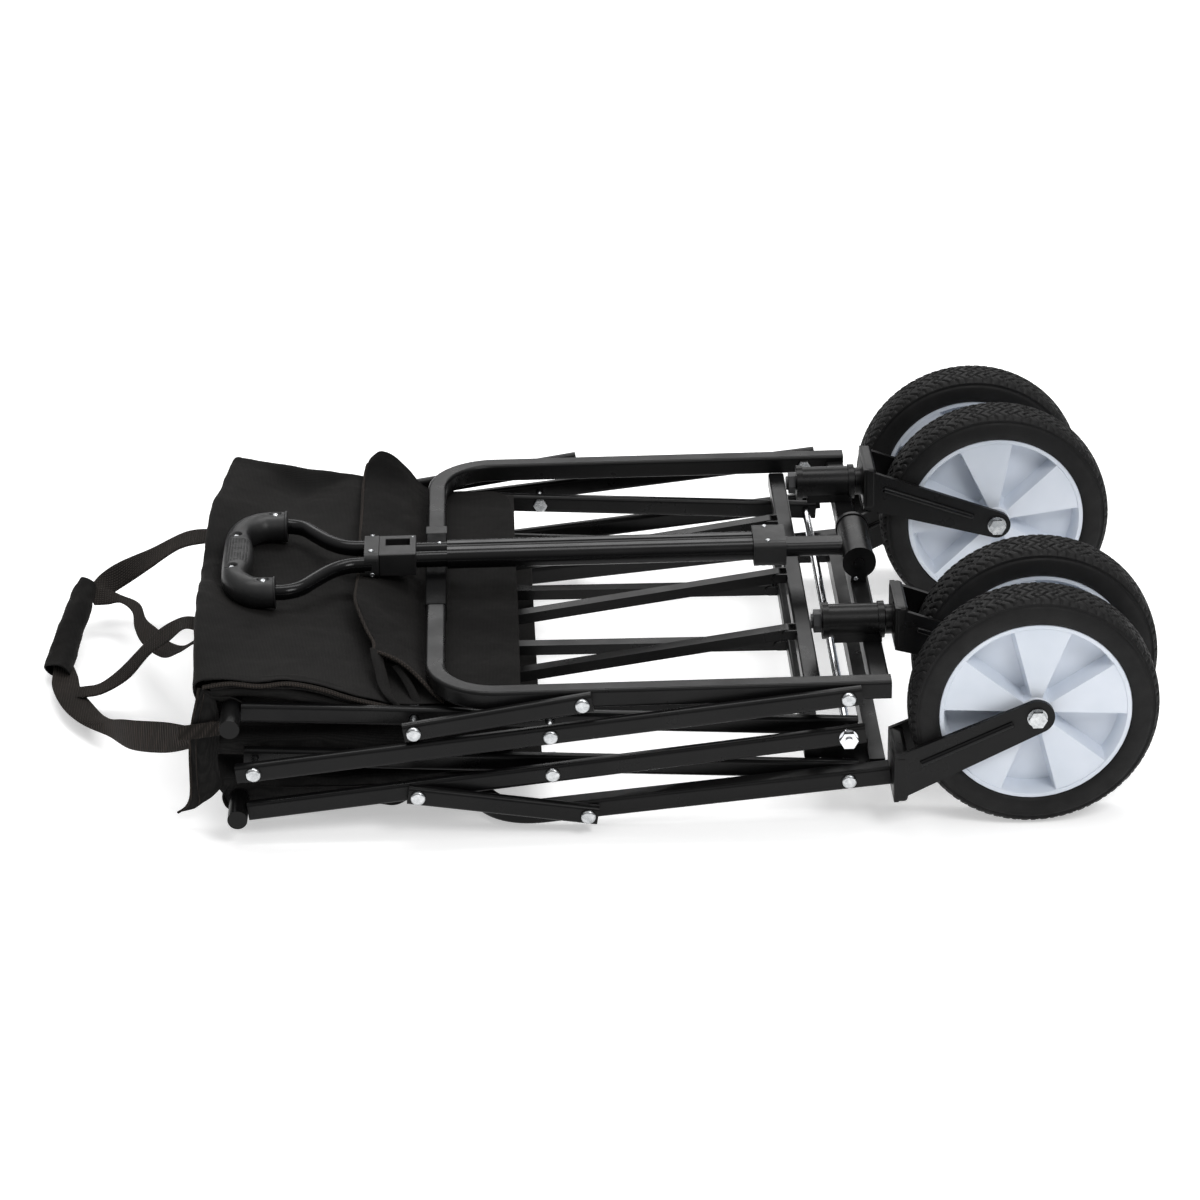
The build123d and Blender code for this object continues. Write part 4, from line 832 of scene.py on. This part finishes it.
def strap():
    """The carry strap: a padded sleeve on webbing that runs to the basket at its top and low at its side."""
    upper = ribbon("strap_upper_band", [
        ((-498, 138, 97), (0.1, 0.98, 0.05)), ((-510, 142, 98), (0.1, 0.98, 0.05)),
        ((-527, 149, 94.5), (0.17, 0.98, 0.07)), ((-551, 168, 82), (0.21, 0.96, 0.2)),
        ((-581, 175, 62), (0.04, 0.94, 0.33)), ((-607, 185, 44), (-0.32, 0.84, 0.43)),
        ((-621, 182, 36), (-0.45, 0.82, 0.35)), ((-628, 168, 34), (-0.6, 0.78, 0.1))], 26)
    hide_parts("carry_strap")
    ribbon("strap_low_band", [
        ((-652, 72, 15), (0.7, -0.68, 0)), ((-648, 52, 13), (0.8, -0.55, 0)),
        ((-645, 25, 12), (0.95, -0.3, 0)), ((-633, -10, 13), (1, -0.05, 0.05)),
        ((-618, -44, 17), (0.85, -0.3, 0.3)), ((-599, -78, 26), (0.2, -0.5, 0.82)),
        ((-577, -127, 44), (-0.05, 0.04, 1)), ((-547, -168, 62), (0.02, 0.09, 1)),
        ((-520, -200, 78), (0.04, -0.38, 0.92)), ((-502, -206, 84), (0.1, -0.2, 0.95))], 27)
    ribbon("strap_light_band", [
        ((-505, -66, 110), (0.03, 0.99, 0.05)), ((-521, -56, 108), (0.03, 0.99, 0.12)),
        ((-536, -36, 100), (-0.05, 1, 0.08)), ((-554, -16, 80), (-0.26, 0.93, 0.26)),
        ((-571, -1, 60), (-0.22, 0.97, 0.1)), ((-592, 2, 36), (-0.39, 0.92, 0.04)),
        ((-612, 1, 23), (-0.14, 0.99, 0)), ((-628, 9, 16), (-0.05, 1, 0)),
        ((-642, 19, 10), (-0.05, 1, 0))], 20)
    ribbon("strap_thin_band", [
        ((-634, 160, 32), (-0.35, 0.9, 0.2)), ((-622, 161, 33), (-0.19, 0.92, 0.35)),
        ((-607, 153, 34), (-0.06, 0.99, -0.13)), ((-592, 130, 36), (0.25, 0.97, -0.08)),
        ((-585, 93, 38), (0.46, 0.89, -0.05)), ((-573, 57, 42), (0.63, 0.68, 0.37)),
        ((-557, 13, 52), (0.25, 0.92, 0.3)), ((-540, -28, 72), (0.15, 0.97, -0.19)),
        ((-523, -62, 96), (0.02, 0.95, -0.32)), ((-505, -80, 104), (0.02, 0.95, -0.2))], 20)
    ribbon("strap_tab", [
        ((-530, -208.5, 86), (0.04, 0.2, 0.95)), ((-510, -212, 90), (0.04, 0.2, 0.95)),
        ((-494, -216, 94), (0.15, 0.2, 0.95))], 12)
    pad()


def pad():
    """The padded sleeve of the strap: a flattened, creased tube, open at both ends."""
    centres, directions, widths = zip(*PAD_STOPS)
    verts = []
    for i in range(PAD_SAMPLES + 1):
        t = i / PAD_SAMPLES
        centre = Vector(catmull(centres, t))
        nearby = Vector(catmull(centres, min(t + 0.01, 1)))
        if t > 0.99:
            nearby = centre + centre - Vector(catmull(centres, t - 0.01))
        ahead = (nearby - centre).normalized()
        across = Vector(catmull(directions, t)).normalized()
        up = across.cross(ahead).normalized()
        if up.z < 0:
            up.negate()
        half = catmull([(width,) for width in widths], t)[0] / 2
        for k in range(PAD_SEGMENTS):
            a = tau * k / PAD_SEGMENTS
            c, s = cos(a), sin(a)
            side = copysign(abs(c) ** 0.8, c)
            lift = copysign(abs(s) ** 0.9, s)
            thick = PAD_HALF_THICK + 0.8 * sin(9 * t + 2 * a)
            p = centre + across * half * side + up * thick * lift
            fold = wrinkle(p, 14, 0.7, 3, (1, 0.5, 1)) + wrinkle(p, 40, 0.9, 1)
            p = p + (across * side + up * lift) * fold
            p.z = max(p.z, PAD_LOWEST)
            verts.append(at(*p))
    # the pad takes the darker cloth, which is painted shade
    obj = add_mesh("strap_pad", verts, grid_faces(PAD_SAMPLES + 1, PAD_SEGMENTS, wrap=True),
                   "basket_fabric", REAR, "fabric_painted_shade")
    thicken(obj, 1.6, offset=-1)


# ---------------- handle and small fittings
HANDLE_Z = 139.5
GRIP_Y = 65.0              # from the middle to each sleeve
GRIP_TOP = 11.2            # half height of the grip's middle
SLEEVE_RADIUS = 12.7
GRIP_SAMPLES = 300
GRIP_SEGMENTS = 96
RECESSES = ((-493, 29), (-494, -32))       # of the grip's own screws
SLEEVE_SCREWS = ((-461, 65), (-466, -65))
DOT_PITCH = 2.5
SCREW_SEGMENTS = 24
SCREW_RINGS = ((1, -0.5), (1, 0.18), (0.9, 0.34), (0.66, 0.44), (0.5, 0.46), (0.25, 0.46))
WEB_HALF = 27.4            # half width of the block between a fork's plates
BEAD_OUT = 27.0            # from a fork's middle to the beads on its plates
REAR_FORK_Y = 225
CASTER_Y = 137.6
BOX_SIDES = ((0, 1, 5, 4), (1, 2, 6, 5), (2, 3, 7, 6), (3, 0, 4, 7))


def grip_depth(p):
    """How deep the screw recesses and the dots are at a place on the grip's top, in mm."""
    depth = 0.0
    for places, long, radius, deep in ((RECESSES, 1.25, 4.2, 3.4), (SLEEVE_SCREWS, 1.5, 3.6, 1.6)):
        for x, y in places:
            depth += deep * clamp((radius - hypot((p.x - x) / long, p.y - y)) / 0.8)
    if abs(p.y + 1.5) < 22 and -497 < p.x < -480:
        u, v = (p.x + 497) / DOT_PITCH, (p.y + 23.5) / DOT_PITCH
        far = hypot(u - round(u), v - round(v)) * DOT_PITCH
        depth += 0.7 * clamp((0.95 - far) / 0.4)
    return depth


def grip():
    """The moulded grip: two round sleeves and a flatter, swelling middle with dots and screw recesses."""
    line = [(-451, GRIP_Y), (-462, GRIP_Y), (-473, GRIP_Y - 1.5), (-483, GRIP_Y - 9), (-489, GRIP_Y - 23),
            (-490.4, 22), (-490.6, 0), (-490.4, -22), (-489, 23 - GRIP_Y), (-483, 9 - GRIP_Y),
            (-475, 1.5 - GRIP_Y), (-465, -GRIP_Y), (-456, -GRIP_Y)]
    centres = [Vector((*catmull(line, i / GRIP_SAMPLES), HANDLE_Z)) for i in range(GRIP_SAMPLES + 1)]
    verts = []
    for i, centre in enumerate(centres):
        ahead = (centres[min(i + 1, GRIP_SAMPLES)] - centres[max(i - 1, 0)]).normalized()
        outward = ahead.cross(Vector((0, 0, 1))).normalized()
        share = clamp((abs(centre.y) - 30) / 28)
        share = share * share * (3 - 2 * share)
        inner = SLEEVE_RADIUS * share + (13.6 - 0.004 * centre.y ** 2) * (1 - share)
        outer = SLEEVE_RADIUS * share + 12.2 * (1 - share)
        high = SLEEVE_RADIUS * share + GRIP_TOP * (1 - share)
        square = 1.0 * share + 0.8 * (1 - share)
        end = min(i, GRIP_SAMPLES - i)
        lip = 0.7 if 2 <= end <= 6 else (-0.9 if end == 0 else 0)
        for c, s in around(GRIP_SEGMENTS):
            wide = inner if c < 0 else outer
            p = centre + outward * (wide + lip) * copysign(abs(c) ** square, c)
            p = p + Vector((0, 0, (high + lip) * copysign(abs(s) ** square, s)))
            if s > 0.35:
                p.z -= grip_depth(p)
            verts.append(at(*p))
    faces = grid_faces(GRIP_SAMPLES + 1, GRIP_SEGMENTS, wrap=True)
    for i, turn in ((0, 1), (GRIP_SAMPLES, -1)):
        first, base = i * GRIP_SEGMENTS, len(verts)
        middle = at(*centres[i])
        verts += [middle + (v - middle) * 0.58 for v in verts[first:first + GRIP_SEGMENTS]]
        for k in range(GRIP_SEGMENTS):
            m = (k + 1) % GRIP_SEGMENTS
            quad = (first + k, first + m, base + m, base + k)
            faces.append(quad if turn < 0 else quad[::-1])
    obj = add_mesh("grip_moulded", verts, faces, "moulded_plastic", "handle_inner")
    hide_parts("handle_grip")
    bend = ((-470, GRIP_Y), (-458, GRIP_Y), (-447, 64.5), (-436, 58.5), (-425, 43.5), (-415, 30.5),
            (-405, 21.5), (-395, 17.3), (-385, 16.4), (-378, 16.4))
    for side, where in SIDES[::-1]:
        arm = tube_along(f"handle_arm_{where}", [(x, side * y, HANDLE_Z) for x, y in bend], 6.5,
                         "coated_steel", "handle_inner", 32, 90, finish="gloss_steel")
        if side > 0:
            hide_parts("handle_arms")


def screws(name, rows, body):
    """Cross-head screws as one piece, each from its place, direction and radius in mm."""
    verts, faces = [], []
    for place, direction, radius in rows:
        up = Vector(direction).normalized()
        side = up.orthogonal().normalized()
        other = up.cross(side)
        base = len(verts)
        for share, height in SCREW_RINGS:
            for k, (c, s) in enumerate(around(SCREW_SEGMENTS)):
                slot_depth = 0.35 if share <= 0.5 and k % 6 == 0 else 0.0
                p = Vector(place) + (side * c + other * s) * radius * share
                verts.append(at(*(p + up * radius * (height - slot_depth))))
        top = len(verts)
        verts.append(at(*(Vector(place) + up * radius * 0.1)))
        for f in grid_faces(len(SCREW_RINGS), SCREW_SEGMENTS, wrap=True):
            faces.append(tuple(base + i for i in f))
        last = top - SCREW_SEGMENTS
        for k in range(SCREW_SEGMENTS):
            faces.append((last + k, last + (k + 1) % SCREW_SEGMENTS, top))
    return add_mesh(name, verts, faces, "zinc_hardware", body)


def corners(low, high, *heights):
    """At each height, the four corners of a box between two places."""
    places = (low[0], low[1]), (high[0], low[1]), (high[0], high[1]), (low[0], high[1])
    return [(x, y, z) for z in heights for x, y in places]


def blocks(name, boxes, slot, body, edge, finish=None):
    """Moulded blocks as one piece, each from two corners in mm, with rounded edges."""
    verts, faces = [], []
    for low, high in boxes:
        base = len(verts)
        verts += corners(low, high, low[2], high[2])
        faces += [tuple(base + i for i in f) for f in ((3, 2, 1, 0), (4, 5, 6, 7), *BOX_SIDES)]
    obj = add_mesh(name, [at(*v) for v in verts], faces, slot, body, finish)
    round_edges(obj, edge, 3)
    return obj


def latch():
    """The latch housing with its deep slot, and the button that sits low in it."""
    low, high = (-372, -19, 129.5), (-341, 19, 149.5)
    hole_low, hole_high, slot_floor = (-366.3, 0.5), (-346.3, 12.5), 135.0
    verts = corners(low, high, low[2], high[2]) + corners(hole_low, hole_high, high[2], slot_floor)
    faces = [(3, 2, 1, 0), (12, 13, 14, 15)]
    for k in range(4):
        m = (k + 1) % 4
        faces += [(k + n, m + n, m + n + 4, k + n + 4) for n in (0, 4, 8)]
    housing = add_mesh("latch_frame", [at(*v) for v in verts], faces, "moulded_plastic", "handle_inner")
    round_edges(housing, 1.1, 3)
    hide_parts("latch_housing")
    button = blocks("latch_plate", [((-365.8, 1, 137.6), (-346.8, 12, 141)),
                                    ((-358, 3, 140), (-354, 10, 142.5))], "moulded_plastic", "latch", 0.5)
    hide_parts("latch_button")


def forks():
    """What the solids' forks lack: the block between the plates, and a pressed bead on each plate."""
    for side, where in SIDES:
        kinds = (("rear", side * REAR_FORK_Y, "rear_frame", (36.4, 27.6), (48.4, 68.8), 3.6,
                  ((58, 62), (82, 73), (106, 84), (130, 95))),
                 ("caster", side * CASTER_Y, f"caster_{where}", (44.4, 119.2), (55.4, 157), 3.4,
                  ((62, 138), (88, 128.6), (114, 119.2), (140, 109.8))))
        for end, y, body, (x0, z0), (x1, z1), edge, _ in kinds:
            blocks(f"{end}_fork_web_{where}", [((x0, y - WEB_HALF, z0), (x1, y + WEB_HALF, z1))],
                   "coated_steel", body, edge)
        for end, y, body, *_, line in kinds:
            for face in (-1, 1):
                tube_along(f"{end}_fork_bead_{where}_{'outer' if face == side else 'inner'}",
                           level(y + face * BEAD_OUT, *line), 2.8, "coated_steel", body, 16, 40,
                           finish="gloss_steel")
    for _, where in SIDES:
        NODES[f"caster_stem_{where}"].data.materials[0] = MATERIALS["dark_steel"]


def fittings():
    """The handle's visible shapes and the small hardware that the frame carries."""
    grip()
    latch()
    screws("handle_screws", [
        ((-492.4, 28.4, 148), (0, -0.3, 1), 2.4), ((-493.4, -32.6, 148), (0, -0.3, 1), 2.4),
        ((-461, 65, 150.4), (0, -0.2, 1), 2.3), ((-466, -65, 150.4), (0, -0.2, 1), 2.3),
        ((-377.5, 18, 150.3), (0, 0.3, 1), 2.1), ((-378.5, -12.6, 150.4), (0, 0, 1), 2.3),
        ((-377.8, -21.9, 132.5), (0, -1, 0), 2.2), ((-344, 15.5, 149.4), (0, 0, 1), 0.9)], "handle_inner")
    screws("tube_screw", [((-321.5, 8.8, 146.1), (0, 0.1, 1), 2)], "handle_inner")
    screws("clamp_screws", [((-48.4, 13.5, 150.9), (0, 0, 1), 2.2), ((-47.2, -15, 150.9), (0, 0, 1), 2.2)],
           "handle_outer")
    screws("barrel_screw", [((27.5, -31.8, 137.8), (0, -1, 0), 3.6)], "handle_outer")
    screws("yoke_screw", [((24.5, -38.8, 124.5), (0, -1, 0), 1.8)], "front_frame")
    # a black sleeve on the bar, whose darker finish is painted shade from the handle above
    blocks("bar_sleeve", [((-333.7, -66, 108.3), (-316.3, 74, 125.7))], "moulded_plastic", "front_frame", 1.6,
           finish="matt_black_painted_shade")
    blocks("bar_clip", [((-334.2, 72, 107.8), (-315.8, 87, 126.2))], "moulded_plastic", "front_frame", 1)
    for name in ("handle_outer_tubes", "handle_inner_tubes"):
        NODES[name].data.materials[0] = MATERIALS["gloss_steel"]
    forks()


camera()
stage()
dress_frame()
wheels()
front_wall()
pocket()
sides()
rear_wall()
floor_cloth()
strap()
fittings()
